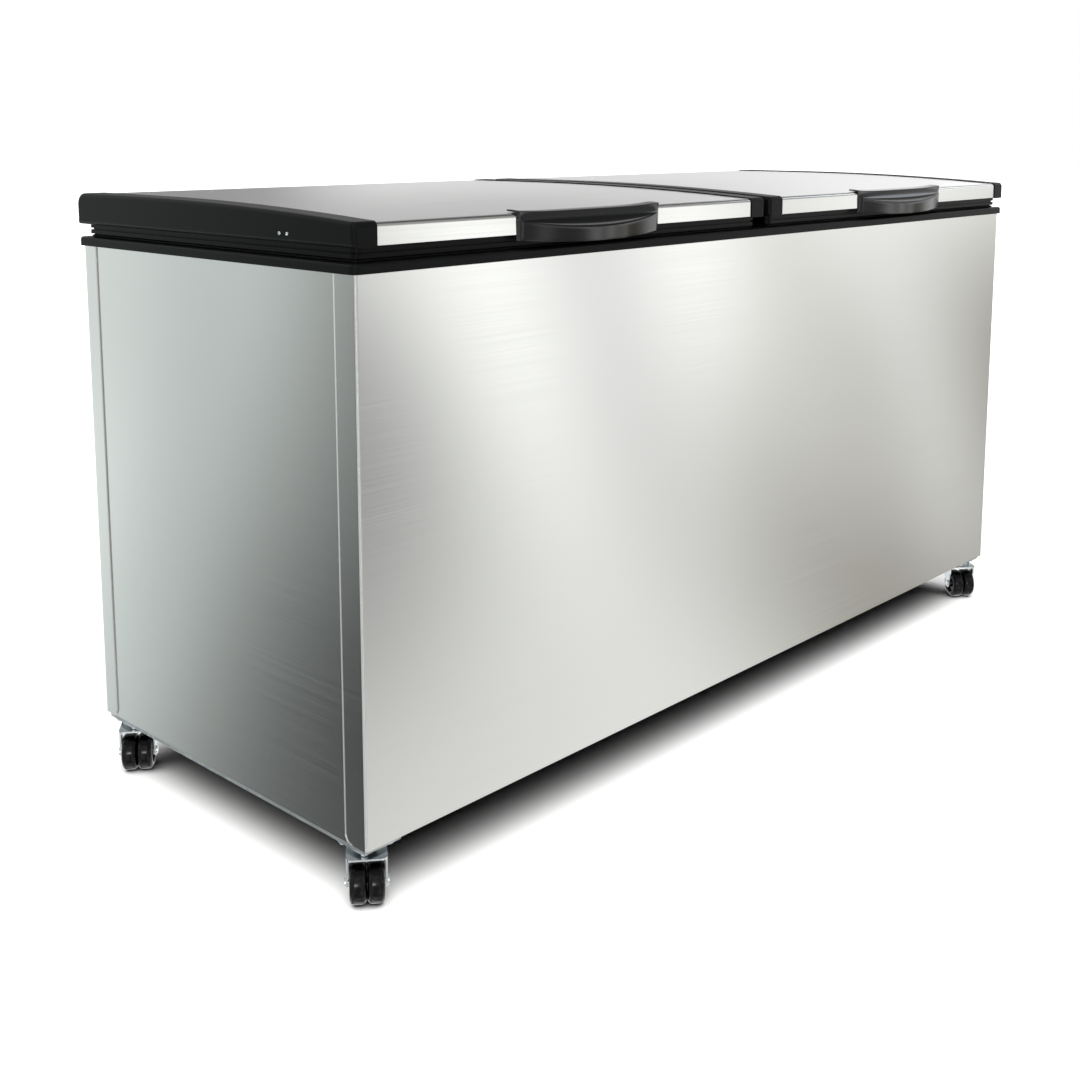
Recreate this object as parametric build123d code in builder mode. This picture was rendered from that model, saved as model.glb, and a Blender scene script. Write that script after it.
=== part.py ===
from build123d import *
import os
from math import cos, radians, sin

# Two-lid chest freezer in stainless steel on swivel castors. Millimetres, +Z up, the front faces -Y,
# and the origin is on the floor under the middle of the bounding box.

# Cabinet
WIDTH = 1820
DEPTH = 680
PANEL_HEIGHT = 784
PANEL_BOTTOM = 88
SHEET = 1.0
FOLD_RADIUS = 4
FRONT_FLANGE = 44
REAR_FLANGE = 36
FLANGE_CORNER = 14
PANEL_LAP = 10
FIT = 0.4
WALL = 65
FLOOR_WALL = 70
LINER = 1.0
TANK_CORNER = 25

# Rim and centre bar round the mouth
RIM_OVERHANG = 6
RIM_HEIGHT = 14
RIM_CORNER = 10
RIM_EDGE = 4
BAR_WIDTH = 84
BAR_HEIGHT = 40
BAR_EDGE = 6

# Lids
LID_GAP = 16
GASKET_GAP = 5
GASKET_REST = 0.3
GASKET_INSET = 16
GASKET_WIDTH = 16
GASKET_WAIST = 3
LID_FRAME_HEIGHT = 15
LID_FRAME_INSET = 12
LID_FRAME_WIDTH = 40
GROOVE_HEIGHT = 3
GROOVE_DEPTH = 3
LID_HEIGHT = 49
LID_SLOPE = 500
LID_DROP = 16
LID_ROLL = 8
LID_BACK_RADIUS = 18
LID_STEP = 1.5
SKIN_RETURN = 30
CAP_WIDTH = 39
CAP_WALL = 3
CAP_EDGE = 6
LID_PANEL = 2
LID_PANEL_DISH = 6
LID_PANEL_MARGIN = 40

# Handles
HANDLE_LENGTH = 320
HANDLE_BULGE = 28
HANDLE_END_BULGE = 4
HANDLE_FLANGE = 20
HANDLE_WALL = 3.5
HANDLE_LAP = 1
HANDLE_SEAT = 6
CREASE_RISE, CREASE_BOW = 6, 13
FOOT_RISE, FOOT_BOW = 2, 6
NOSE_RISE, BROW_RISE = 1, 1.5
SCOOP_IN, SCOOP_DOWN = 0.22, 0.16
SEAT_LOW, SEAT_HIGH = 9, 24
FINGER_RISE = 2
HANDLE_SIDES = (-1, -0.9, -0.65, -0.35, 0, 0.35, 0.65, 0.9, 1)
FINGER_LENGTH = 230

# Hinges
HINGE_SPREAD = 300
HINGE_WIDTH = 64
HINGE_KNUCKLE = 21
HINGE_OFFSET = 9
HINGE_PLATE = 3
HINGE_RISE = 7
LEAF_RISE = 8
LEAF_HEIGHT = 20
LEAF_SCREW_RISE = 22
LEAF_ARM_LOW, LEAF_ARM_BEND, LEAF_ARM_HIGH = 3, 12, 20
LEAF_ARM_HALF = 3
BASE_DROP, BASE_HEIGHT = 66, 46
BASE_SHOULDER, CRANK_LOW, CRANK_HIGH, CRANK_GAP = 6, 12, 8, 2.2
BASE_SCREW_PITCH = 24
SCREW_SPREAD = 0.6
KNUCKLE_RADIUS = 7
KNUCKLE_PLAY = 0.5
PIN_RADIUS = 3
PIN_PLAY = 0.06
PIN_HEAD = 5
PIN_HEAD_THICK = 2
SCREW_RADIUS = 4
SCREW_HEAD = 1.5
CAP_SCREW_BACK, CAP_SCREW_PITCH, CAP_SCREW_RISE, CAP_SCREW_RADIUS = 146, 17, 12, 2.5

# Machine bay at the right end
BAY_LENGTH = 300
BAY_HEIGHT = 300
STEP_WALL = 60
PAN_CLEAR = 2
PAN_SHEET = 1.5
GRILLE_WIDTH = 360
GRILLE_HEIGHT = 230
GRILLE_PLATE = 4
GRILLE_MARGIN = 16
GRILLE_BOTTOM = 26
SLAT_SLOTS = 10
SLAT_PITCH = 18
SLAT_OPENING = 10
SLAT_LENGTH = 205
CUP_RADIUS = 38
CUP_WALL = 3
CUP_DEPTH = 16
KNOB_RADIUS = 25
KNOB_HEIGHT = 11
STEM_RADIUS = 3
GRILLE_CORNER, GRILLE_EDGE = 10, 2
GRILLE_INSET = 10
CUP_INSET, CUP_RISE = 8, 30
KNOB_EDGE, GRIP_DEPTH, GRIP_SPREAD, GRIP_CUT = 2, 0.6, 1.3, 0.85
STEM_REACH, STEM_END = 14, 1
LAMP_RADIUS, LAMP_DOME, LAMP_DROP = 5, 1.2, 28
THERMOSTAT_SIZE, THERMOSTAT_DEPTH = 42, 24
VENT_RISE, VENT_ROWS = 190, 9
VENT_COLUMN, VENT_PITCH, VENT_LENGTH, VENT_SLOT = 116, 18, 96, 7
GLAND_ACROSS, GLAND_RISE = 70, 50
GLAND_RADIUS, GLAND_BORE, GLAND_FLANGE, GLAND_NUT = 8, 4.5, 13, 11
GLAND_PLATE, GLAND_SHANK, GLAND_EDGE = 3, 9, 1

# Refrigerating circuit
TUBE_RADIUS = 4
CONDENSER_RADIUS = 3
COIL_TURNS, COIL_PITCH, COIL_BEND = 4, 95, 30
COIL_OFF_TANK, COIL_RISE = 12, 60
HOT_RUNS, HOT_PITCH, HOT_END, HOT_BEND, HOT_RISE = 6, 100, 760, 45, 110
COMP_ACROSS, COMP_BACK = 140, 40
TRAY_X, TRAY_Y, TRAY_SHEET = 130, 170, 2
GROMMET_RADIUS, GROMMET_HEIGHT, GROMMET_EDGE = 12, 14, 2
FEET_X, FEET_Y, FOOT_SHEET, FOOT_MARGIN, FOOT_CORNER = 84, 66, 3, 30, 12
POT_RADIUS, POT_HEIGHT, DOME_HEIGHT, DOME_RADIUS, WELD_LIP = 78, 86, 84, 48, 6
RELAY_DEPTH, RELAY_WIDTH, RELAY_HEIGHT, RELAY_RISE, RELAY_EDGE = 34, 60, 60, 12, 5
DRIER_ACROSS, DRIER_FORWARD, DRIER_RISE = 45, 150, 150
DRIER_RADIUS, DRIER_LENGTH, DRIER_TAPER = 11, 110, 14
PIPE_RADIUS, PIPE_BEND = 3, 12
PIPE_DROP, PIPE_DIP, PIPE_OUT, PIPE_END = 30, 60, 60, 70
PIPE_TOP = 20

# Castors
WHEEL_RADIUS = 30
WHEEL_WIDTH = 23
WHEEL_GAP = 3
HUB_RADIUS, TYRE_EDGE, TYRE_SHOULDER = 8, 5, 2
WEB_DEPTH, WEB_INNER, WEB_OUTER = 5, 10, 20
AXLE_RADIUS = 4
AXLE_PLAY = 0.06
AXLE_HEAD, AXLE_HEAD_THICK = 6.5, 2.5
FORK_SHEET = 2.5
FORK_TOP = 72
FORK_TRAIL = 24
FORK_SIDE_PLAY = 1.5
FORK_BOSS, FORK_NOSE, FORK_CORNER, FORK_LAP = 9, 20, 8, 1
CASTOR_INSET_X = 36
CASTOR_INSET_Y = 44
CASTOR_ANGLE = -39
RAIL_HEIGHT = 10
RAIL_WIDTH = 64
RAIL_SHEET = 2
RAIL_END = 8
CASTOR_PLATE = 3
PLATE_X, PLATE_Y, PLATE_CORNER = 60, 62, 8
PLATE_BOLT_X, PLATE_BOLT_Y, PLATE_BOLT, PLATE_BOLT_HEAD = 46, 46, 5, 4
RACE_RADIUS, RACE_FOOT, RACE_GAP = 19, 14, 0.6
KINGPIN_RADIUS = 5
KINGPIN_PLAY = 0.08
KINGPIN_HEAD, KINGPIN_HEAD_THICK = 8, 2.2

# Derived places
X_HALF = WIDTH / 2
PANEL_TOP = PANEL_BOTTOM + PANEL_HEIGHT
RIM_TOP = PANEL_TOP + RIM_HEIGHT
FRAME_BOTTOM = RIM_TOP + GASKET_GAP
LID_BOTTOM = FRAME_BOTTOM + LID_FRAME_HEIGHT
LID_TOP = LID_BOTTOM + LID_HEIGHT
FRONT_REACH = RIM_OVERHANG - LID_STEP + HANDLE_BULGE
REAR_REACH = RIM_OVERHANG + HINGE_OFFSET + KNUCKLE_RADIUS
Y_FRONT = FRONT_REACH - (DEPTH + FRONT_REACH + REAR_REACH) / 2
Y_BACK = Y_FRONT + DEPTH
Y_MID = (Y_FRONT + Y_BACK) / 2
TANK_X = X_HALF - WALL
TANK_FRONT = Y_FRONT + WALL
TANK_BACK = Y_BACK - WALL
TANK_FLOOR = PANEL_BOTTOM + FLOOR_WALL
PAN_BOTTOM = PANEL_BOTTOM + PAN_CLEAR
PAN_TOP = PAN_BOTTOM + PAN_SHEET
BAY_X = X_HALF - BAY_LENGTH
BAY_TOP = PANEL_BOTTOM + BAY_HEIGHT
STEP_X = BAY_X - STEP_WALL
STEP_TOP = BAY_TOP + STEP_WALL
SIDE_FACE = X_HALF - SHEET
FOAM_X = X_HALF - 2 * SHEET - FIT
FOAM_FRONT = Y_FRONT + SHEET + FIT
FOAM_BACK = Y_BACK - SHEET - FIT
LID_FRONT = Y_FRONT - RIM_OVERHANG
LID_BACK = Y_BACK + RIM_OVERHANG
LID_END = X_HALF + RIM_OVERHANG
HINGE_Y = LID_BACK + HINGE_OFFSET
HINGE_Z = FRAME_BOTTOM + HINGE_RISE
VENT_X, VENT_Z = BAY_X + BAY_LENGTH / 2, PANEL_BOTTOM + VENT_RISE
GLAND_X, GLAND_Z = BAY_X + GLAND_ACROSS, PANEL_BOTTOM + GLAND_RISE
COMP_X, COMP_Y = BAY_X + COMP_ACROSS, Y_MID + COMP_BACK
DRIER_X, DRIER_Y = BAY_X + DRIER_ACROSS, Y_MID - DRIER_FORWARD

os.makedirs("parts", exist_ok=True)


def save(piece, node):
    """Labels a finished piece and writes it as a node of its own."""
    piece.part.label = node
    export_step(piece.part, f"parts/{node}.step")


def block(low, high, mode=Mode.ADD):
    """Adds a box between two corners to the part being built."""
    with Locations(tuple((a + b) / 2 for a, b in zip(low, high))):
        return Box(*(b - a for a, b in zip(low, high)), mode=mode)


def tube(points, bend, radius):
    """A round tube along straight runs joined by bends."""
    with BuildPart() as run:
        with BuildLine() as path:
            FilletPolyline(*points, radius=bend)
        with BuildSketch(Plane(origin=path.line @ 0, z_dir=path.line % 0)):
            Circle(radius)
        sweep(path=path.line)
    return run.part


# Outer shell: two folded panels that wrap round the corners, and flat sides tucked under their flanges
def folded_sheet(face_y, inward, flange):
    """Plan of a panel with a flange turned onto each side."""
    faces = []
    for inset, radius in ((0, FOLD_RADIUS), (SHEET, FOLD_RADIUS - SHEET)):
        x, near, far = X_HALF - inset, face_y + inward * inset, face_y + inward * flange
        with BuildSketch() as trough:
            with BuildLine():
                FilletPolyline((-x, far), (-x, near), (x, near), (x, far), radius=radius)
                Line((x, far), (-x, far))
            make_face()
        faces.append(trough.sketch)
    return faces


def folded_panel(face_y, inward, flange):
    """A folded panel with the lower corner of each flange rounded."""
    outer, inner = folded_sheet(face_y, inward, flange)
    with BuildPart() as panel:
        with BuildSketch(Plane.XY.offset(PANEL_BOTTOM)):
            add(outer)
            add(inner, mode=Mode.SUBTRACT)
        extrude(amount=PANEL_HEIGHT)
        ends = panel.edges().filter_by(Axis.X).filter_by(lambda edge: edge.length < 2 * SHEET)
        fillet(ends.group_by(Axis.Z)[0], FLANGE_CORNER)
    return panel.part


with BuildPart() as front_panel:
    add(folded_panel(Y_FRONT, 1, FRONT_FLANGE))
save(front_panel, "front_panel")

with BuildPart() as rear_panel:
    add(folded_panel(Y_BACK, -1, REAR_FLANGE))
    with BuildSketch(Plane.XZ.offset(-Y_BACK)):
        with Locations((VENT_X, VENT_Z)):
            with GridLocations(VENT_COLUMN, VENT_PITCH, 2, VENT_ROWS):
                SlotOverall(VENT_LENGTH, VENT_SLOT)
        with Locations((GLAND_X, GLAND_Z)):
            Circle(GLAND_RADIUS + FIT)
    extrude(amount=2 * SHEET, both=True, mode=Mode.SUBTRACT)
save(rear_panel, "rear_panel")

side_low_y = Y_FRONT + FRONT_FLANGE - PANEL_LAP
side_high_y = Y_BACK - REAR_FLANGE + PANEL_LAP
with BuildPart() as left_side_panel:
    block((-SIDE_FACE, side_low_y, PANEL_BOTTOM), (-SIDE_FACE + SHEET, side_high_y, PANEL_TOP))
save(left_side_panel, "left_side_panel")

grille_low = (Y_MID - GRILLE_WIDTH / 2, PANEL_BOTTOM + GRILLE_BOTTOM)
grille_high = (Y_MID + GRILLE_WIDTH / 2, PANEL_BOTTOM + GRILLE_BOTTOM + GRILLE_HEIGHT)
with BuildPart() as right_side_panel:
    block((SIDE_FACE - SHEET, side_low_y, PANEL_BOTTOM), (SIDE_FACE, side_high_y, PANEL_TOP))
    block(
        (SIDE_FACE - 2 * SHEET, grille_low[0] + GRILLE_MARGIN, grille_low[1] + GRILLE_MARGIN),
        (SIDE_FACE + SHEET, grille_high[0] - GRILLE_MARGIN, grille_high[1] - GRILLE_MARGIN),
        mode=Mode.SUBTRACT,
    )
save(right_side_panel, "right_side_panel")

with BuildPart() as base_pan:
    block((-FOAM_X, FOAM_FRONT, PAN_BOTTOM), (FOAM_X, FOAM_BACK, PAN_TOP))
save(base_pan, "base_pan")

# Two channels across the underside carry the castors
rail_x = X_HALF - CASTOR_INSET_X
with BuildPart() as base_rails:
    for x in (-rail_x, rail_x):
        low = (x - RAIL_WIDTH / 2, Y_FRONT + RAIL_END, PAN_BOTTOM - RAIL_HEIGHT)
        high = (x + RAIL_WIDTH / 2, Y_BACK - RAIL_END, PAN_BOTTOM)
        block(low, high)
        block(
            (low[0] + RAIL_SHEET, low[1] - RAIL_SHEET, low[2] + RAIL_SHEET),
            (high[0] - RAIL_SHEET, high[1] + RAIL_SHEET, high[2]),
            mode=Mode.SUBTRACT,
        )
save(base_rails, "base_rails")


# Tank: a one-piece liner with a raised step over the machine bay
def tank_block(grow):
    """The space inside the tank, grown outwards by its wall, with rounded upright corners."""
    with BuildPart() as tank:
        with BuildSketch(Plane.XZ.offset(-(TANK_BACK + grow))):
            with BuildLine():
                Polyline(
                    (-TANK_X - grow, TANK_FLOOR - grow),
                    (STEP_X + grow, TANK_FLOOR - grow),
                    (STEP_X + grow, STEP_TOP - grow),
                    (TANK_X + grow, STEP_TOP - grow),
                    (TANK_X + grow, PANEL_TOP),
                    (-TANK_X - grow, PANEL_TOP),
                    close=True,
                )
            make_face()
        extrude(amount=TANK_BACK - TANK_FRONT + 2 * grow)
        uprights = tank.edges().filter_by(Axis.Z).group_by(Axis.X)
        fillet(uprights[0] + uprights[-1], TANK_CORNER + grow)
    return tank.part


with BuildPart() as inner_liner:
    add(tank_block(LINER))
    add(tank_block(0), mode=Mode.SUBTRACT)
save(inner_liner, "inner_liner")

# Evaporator: one tube wound round the tank, climbing to the next turn along the back wall
coil_x, coil_front, coil_back = TANK_X + COIL_OFF_TANK, TANK_FRONT - COIL_OFF_TANK, TANK_BACK + COIL_OFF_TANK
coil_low = STEP_TOP + COIL_RISE
coil_points = []
for turn in range(COIL_TURNS):
    z = coil_low + turn * COIL_PITCH
    coil_points += [(-coil_x, coil_back, z), (-coil_x, coil_front, z)]
    coil_points += [(coil_x, coil_front, z), (coil_x, coil_back, z)]
coil_points = coil_points[1:]
with BuildPart() as evaporator_coil:
    add(tube(coil_points, COIL_BEND, TUBE_RADIUS))
save(evaporator_coil, "evaporator_coil")

# Condenser: a serpentine that lies against the inside of the front panel and warms it
hot_y, hot_low = FOAM_FRONT + CONDENSER_RADIUS + FIT, PANEL_BOTTOM + HOT_RISE
hot_points = []
for run in range(HOT_RUNS):
    z, side = hot_low + run * HOT_PITCH, 1 if run % 2 else -1
    hot_points += [(side * HOT_END, hot_y, z), (-side * HOT_END, hot_y, z)]
with BuildPart() as condenser_coil:
    add(tube(hot_points, HOT_BEND, CONDENSER_RADIUS))
save(condenser_coil, "condenser_coil")

# Foam slabs between the shell and the tank, grooved for the two tubes
wall_inner_front, wall_inner_back = TANK_FRONT - LINER - FIT, TANK_BACK + LINER + FIT
tank_side, foam_low = TANK_X + LINER + FIT, PAN_TOP + FIT
side_front, side_back = wall_inner_front + FIT, wall_inner_back - FIT
slabs = [
    ((-FOAM_X, FOAM_FRONT, foam_low), (FOAM_X, wall_inner_front, PANEL_TOP)),
    ((-FOAM_X, wall_inner_back, foam_low), (BAY_X, FOAM_BACK, PANEL_TOP)),
    ((BAY_X + FIT, wall_inner_back, BAY_TOP), (FOAM_X, FOAM_BACK, PANEL_TOP)),
    ((-FOAM_X, side_front, foam_low), (-tank_side, side_back, PANEL_TOP)),
    ((tank_side, side_front, STEP_TOP - LINER), (FOAM_X, side_back, PANEL_TOP)),
    ((BAY_X + FIT, side_front, BAY_TOP), (FOAM_X, side_back, STEP_TOP - LINER - FIT)),
    ((STEP_X + LINER + FIT, side_front, foam_low), (BAY_X, side_back, STEP_TOP - LINER - FIT)),
    ((-tank_side + FIT, side_front, foam_low), (STEP_X + LINER, side_back, TANK_FLOOR - LINER - FIT)),
]
with BuildPart() as cabinet_insulation:
    for low, high in slabs:
        block(low, high)
    add(tube(coil_points, COIL_BEND, TUBE_RADIUS + FIT), mode=Mode.SUBTRACT)
    add(tube(hot_points, HOT_BEND, CONDENSER_RADIUS + FIT), mode=Mode.SUBTRACT)
save(cabinet_insulation, "cabinet_insulation")

# Black rim over the top of the walls, and the bar across the mouth that both lids close on
with BuildPart() as top_rim:
    with BuildSketch(Plane.XY.offset(PANEL_TOP)):
        with Locations((0, Y_MID)):
            RectangleRounded(WIDTH + 2 * RIM_OVERHANG, DEPTH + 2 * RIM_OVERHANG, RIM_CORNER)
            RectangleRounded(2 * TANK_X, TANK_BACK - TANK_FRONT, TANK_CORNER, mode=Mode.SUBTRACT)
    extrude(amount=RIM_HEIGHT)
    top_wires = top_rim.faces().sort_by(Axis.Z)[-1]
    fillet(top_wires.outer_wire().edges(), RIM_EDGE)
save(top_rim, "top_rim")

with BuildPart() as centre_bar:
    block(
        (-BAR_WIDTH / 2, TANK_FRONT + FIT, RIM_TOP - BAR_HEIGHT),
        (BAR_WIDTH / 2, TANK_BACK - FIT, RIM_TOP),
    )
    fillet(centre_bar.edges().filter_by(Axis.Y), BAR_EDGE)
save(centre_bar, "centre_bar")

# Compressor on rubber grommets over a tray in the machine bay
tray_low = PAN_TOP + FIT
tray_top = tray_low + TRAY_SHEET
foot_low = tray_top + GROMMET_HEIGHT
pot_low = foot_low + FOOT_SHEET
weld_z = pot_low + POT_HEIGHT
with BuildPart() as compressor_tray:
    block((COMP_X - TRAY_X, COMP_Y - TRAY_Y, tray_low), (COMP_X + TRAY_X, COMP_Y + TRAY_Y, tray_top))
save(compressor_tray, "compressor_tray")

with BuildPart() as compressor_grommets:
    with BuildSketch(Plane.XY.offset(tray_top)):
        with Locations((COMP_X, COMP_Y)):
            with GridLocations(2 * FEET_X, 2 * FEET_Y, 2, 2):
                Circle(GROMMET_RADIUS)
    extrude(amount=GROMMET_HEIGHT)
    chamfer(compressor_grommets.edges().filter_by(GeomType.CIRCLE), GROMMET_EDGE)
save(compressor_grommets, "compressor_grommets")

with BuildPart() as compressor:
    with BuildSketch(Plane.XY.offset(foot_low)):
        with Locations((COMP_X, COMP_Y)):
            RectangleRounded(2 * FEET_X + FOOT_MARGIN, 2 * FEET_Y + FOOT_MARGIN, FOOT_CORNER)
    extrude(amount=FOOT_SHEET)
    for low, radius, height in (
        (pot_low, POT_RADIUS, POT_HEIGHT + DOME_HEIGHT),
        (weld_z, POT_RADIUS + WELD_LIP, WELD_LIP),
    ):
        with BuildSketch(Plane.XY.offset(low)):
            with Locations((COMP_X, COMP_Y)):
                Circle(radius)
        extrude(amount=height)
    fillet(compressor.faces().sort_by(Axis.Z)[-1].edges(), DOME_RADIUS)
save(compressor, "compressor")

relay_low = pot_low + RELAY_RISE
with BuildPart() as compressor_relay_cover:
    block(
        (COMP_X + POT_RADIUS + FIT, COMP_Y - RELAY_WIDTH / 2, relay_low),
        (COMP_X + POT_RADIUS + RELAY_DEPTH, COMP_Y + RELAY_WIDTH / 2, relay_low + RELAY_HEIGHT),
    )
    fillet(compressor_relay_cover.faces().sort_by(Axis.X)[-1].edges(), RELAY_EDGE)
save(compressor_relay_cover, "compressor_relay_cover")

# Filter drier and the pipes between the compressor and the two coils
drier_low = PANEL_BOTTOM + DRIER_RISE
with BuildPart() as filter_drier:
    with BuildSketch(Plane(origin=(DRIER_X, DRIER_Y, 0), x_dir=(1, 0, 0), z_dir=(0, -1, 0))):
        with BuildLine():
            Polyline(
                (0, drier_low),
                (PIPE_RADIUS, drier_low),
                (DRIER_RADIUS, drier_low + DRIER_TAPER),
                (DRIER_RADIUS, drier_low + DRIER_LENGTH - DRIER_TAPER),
                (PIPE_RADIUS, drier_low + DRIER_LENGTH),
                (0, drier_low + DRIER_LENGTH),
                close=True,
            )
        make_face()
    revolve(axis=Axis((DRIER_X, DRIER_Y, 0), (0, 0, 1)))
save(filter_drier, "filter_drier")

pipe_z = weld_z - PIPE_DROP
shell_left = COMP_X - POT_RADIUS - FIT
pipe_runs = [
    [
        (shell_left, COMP_Y, pipe_z),
        (DRIER_X, COMP_Y, pipe_z),
        (DRIER_X, DRIER_Y, pipe_z - PIPE_DIP),
        (DRIER_X, DRIER_Y, drier_low - FIT),
    ],
    [
        (COMP_X, COMP_Y + POT_RADIUS + FIT, pipe_z),
        (COMP_X, COMP_Y + POT_RADIUS + PIPE_OUT, pipe_z),
        (COMP_X, COMP_Y + POT_RADIUS + PIPE_OUT, BAY_TOP - FIT),
    ],
    [
        (DRIER_X, DRIER_Y, drier_low + DRIER_LENGTH + FIT),
        (DRIER_X, DRIER_Y, BAY_TOP - PIPE_TOP),
        (DRIER_X + PIPE_END, DRIER_Y, BAY_TOP - 2 * PIPE_RADIUS),
    ],
]
with BuildPart() as refrigerant_pipes:
    for points in pipe_runs:
        add(tube(points, PIPE_BEND, PIPE_RADIUS))
save(refrigerant_pipes, "refrigerant_pipes")

# Slotted grille over the bay in the right side, with a cup for the thermostat knob
plate_low, plate_high = SIDE_FACE, SIDE_FACE + GRILLE_PLATE
grille_mid_z = (grille_low[1] + grille_high[1]) / 2
cup_y, cup_z = grille_high[0] - GRILLE_MARGIN - CUP_RADIUS - CUP_INSET, grille_mid_z + CUP_RISE
cup_floor = plate_high - CUP_DEPTH + CUP_WALL
lamp_y, lamp_z = cup_y, cup_z - CUP_RADIUS - LAMP_DROP
slats_y = grille_low[0] + GRILLE_MARGIN + GRILLE_INSET + SLAT_LENGTH / 2
with BuildPart() as machine_grille:
    block((plate_low, *grille_low), (plate_high, *grille_high))
    fillet(machine_grille.edges().filter_by(Axis.X), GRILLE_CORNER)
    fillet(machine_grille.faces().sort_by(Axis.X)[-1].edges(), GRILLE_EDGE)
    with BuildSketch(Plane.YZ.offset(plate_high)):
        with Locations((cup_y, cup_z)):
            Circle(CUP_RADIUS)
    extrude(amount=-CUP_DEPTH)
    with BuildSketch(Plane.YZ.offset(plate_high)):
        with Locations((cup_y, cup_z)):
            Circle(CUP_RADIUS - CUP_WALL)
    extrude(amount=-(CUP_DEPTH - CUP_WALL), mode=Mode.SUBTRACT)
    with BuildSketch(Plane.YZ.offset(plate_low - CUP_DEPTH)):
        with Locations((slats_y, grille_mid_z)):
            with GridLocations(SLAT_LENGTH, SLAT_PITCH, 1, SLAT_SLOTS):
                SlotOverall(SLAT_LENGTH, SLAT_OPENING)
        with Locations((cup_y, cup_z)):
            Circle(STEM_RADIUS + FIT)
        with Locations((lamp_y, lamp_z)):
            Circle(LAMP_RADIUS + FIT / 4)
    extrude(amount=2 * CUP_DEPTH, mode=Mode.SUBTRACT)
save(machine_grille, "machine_grille")

with BuildPart() as power_lamp:
    with BuildSketch(Plane.YZ.offset(plate_low)):
        with Locations((lamp_y, lamp_z)):
            Circle(LAMP_RADIUS)
    extrude(amount=GRILLE_PLATE + LAMP_DOME)
    fillet(power_lamp.faces().sort_by(Axis.X)[-1].edges(), LAMP_DOME)
save(power_lamp, "power_lamp")

thermostat_face = plate_high - CUP_DEPTH
with BuildPart() as thermostat:
    block(
        (thermostat_face - THERMOSTAT_DEPTH, cup_y - THERMOSTAT_SIZE / 2, cup_z - THERMOSTAT_SIZE / 2),
        (thermostat_face, cup_y + THERMOSTAT_SIZE / 2, cup_z + THERMOSTAT_SIZE / 2),
    )
    with BuildSketch(Plane.YZ.offset(thermostat_face)):
        with Locations((cup_y, cup_z)):
            Circle(STEM_RADIUS + PIN_PLAY)
    extrude(amount=-STEM_REACH - STEM_END, mode=Mode.SUBTRACT)
save(thermostat, "thermostat")

with BuildPart() as thermostat_knob:
    with BuildSketch(Plane.YZ.offset(cup_floor + FIT)):
        with Locations((cup_y, cup_z)):
            Circle(KNOB_RADIUS)
    extrude(amount=KNOB_HEIGHT)
    fillet(thermostat_knob.faces().sort_by(Axis.X)[-1].edges(), KNOB_EDGE)
    with BuildSketch(Plane.YZ.offset(cup_floor + FIT + KNOB_HEIGHT)):
        with Locations((cup_y, cup_z)):
            with GridLocations(GRIP_SPREAD * KNOB_RADIUS, 0, 2, 1):
                Rectangle(GRIP_CUT * KNOB_RADIUS, 4 * KNOB_RADIUS)
    extrude(amount=-GRIP_DEPTH * KNOB_HEIGHT, mode=Mode.SUBTRACT)
    with BuildSketch(Plane.YZ.offset(cup_floor + FIT)):
        with Locations((cup_y, cup_z)):
            Circle(STEM_RADIUS)
    extrude(amount=-(cup_floor + FIT - thermostat_face) - STEM_REACH)
save(thermostat_knob, "thermostat_knob")

# Cord gland in the rear panel beside the bay
with BuildPart() as cord_gland:
    with BuildSketch(Plane.XZ.offset(-Y_BACK)):
        with Locations((GLAND_X, GLAND_Z)):
            Circle(GLAND_FLANGE)
    extrude(amount=-GLAND_PLATE)
    fillet(cord_gland.faces().sort_by(Axis.Y)[-1].edges(), GLAND_EDGE)
    with BuildSketch(Plane.XZ.offset(-Y_BACK)):
        with Locations((GLAND_X, GLAND_Z)):
            Circle(GLAND_RADIUS)
    extrude(amount=GLAND_SHANK)
    with BuildSketch(Plane.XZ.offset(-Y_BACK + SHEET + FIT)):
        with Locations((GLAND_X, GLAND_Z)):
            RegularPolygon(GLAND_NUT, 6)
    extrude(amount=GLAND_SHANK - SHEET - 2 * FIT)
    with BuildSketch(Plane.XZ.offset(-Y_BACK - GLAND_PLATE)):
        with Locations((GLAND_X, GLAND_Z)):
            Circle(GLAND_BORE)
    extrude(amount=GLAND_PLATE + GLAND_SHANK, mode=Mode.SUBTRACT)
save(cord_gland, "cord_gland")


# Lids: one set of pieces for each, between the outer end and the gap at the middle
def lid_section(inset):
    """Side view of a lid above its frame, set in evenly from the end caps' outer face."""
    brow = (LID_FRONT + LID_SLOPE, LID_TOP)
    nose = (LID_FRONT, LID_TOP - LID_DROP)
    with BuildSketch() as section:
        with BuildLine():
            Polyline(nose, (LID_FRONT, LID_BOTTOM), (LID_BACK, LID_BOTTOM), (LID_BACK, LID_TOP), brow)
            TangentArc(brow, nose, tangent=(-1, 0))
        make_face()
        fillet(section.vertices().sort_by_distance((LID_BACK, LID_TOP))[0], LID_BACK_RADIUS)
        fillet(section.vertices().sort_by_distance(nose)[0], LID_ROLL)
        if inset:
            offset(amount=-inset, kind=Kind.INTERSECTION)
    return section.sketch


def lid_caps(side, outer, inner):
    """The moulded end caps: cups that close both ends and stand a little proud of the skin."""
    for place, end, inward in (("outer", outer, -side), ("inner", inner, side)):
        with BuildPart() as cap:
            with BuildSketch(Plane.YZ.offset(end)):
                add(lid_section(0))
            extrude(amount=inward * CAP_WIDTH)
            end_face = cap.faces().filter_by(Axis.X).sort_by(Axis.X)[-1 if inward < 0 else 0]
            fillet(end_face.edges(), CAP_EDGE)
            with BuildSketch(Plane.YZ.offset(end + inward * CAP_WALL)):
                add(lid_section(CAP_WALL))
            extrude(amount=inward * CAP_WIDTH, mode=Mode.SUBTRACT)
        save(cap, f"{NAMES[side]}_lid_{place}_cap")


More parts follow.
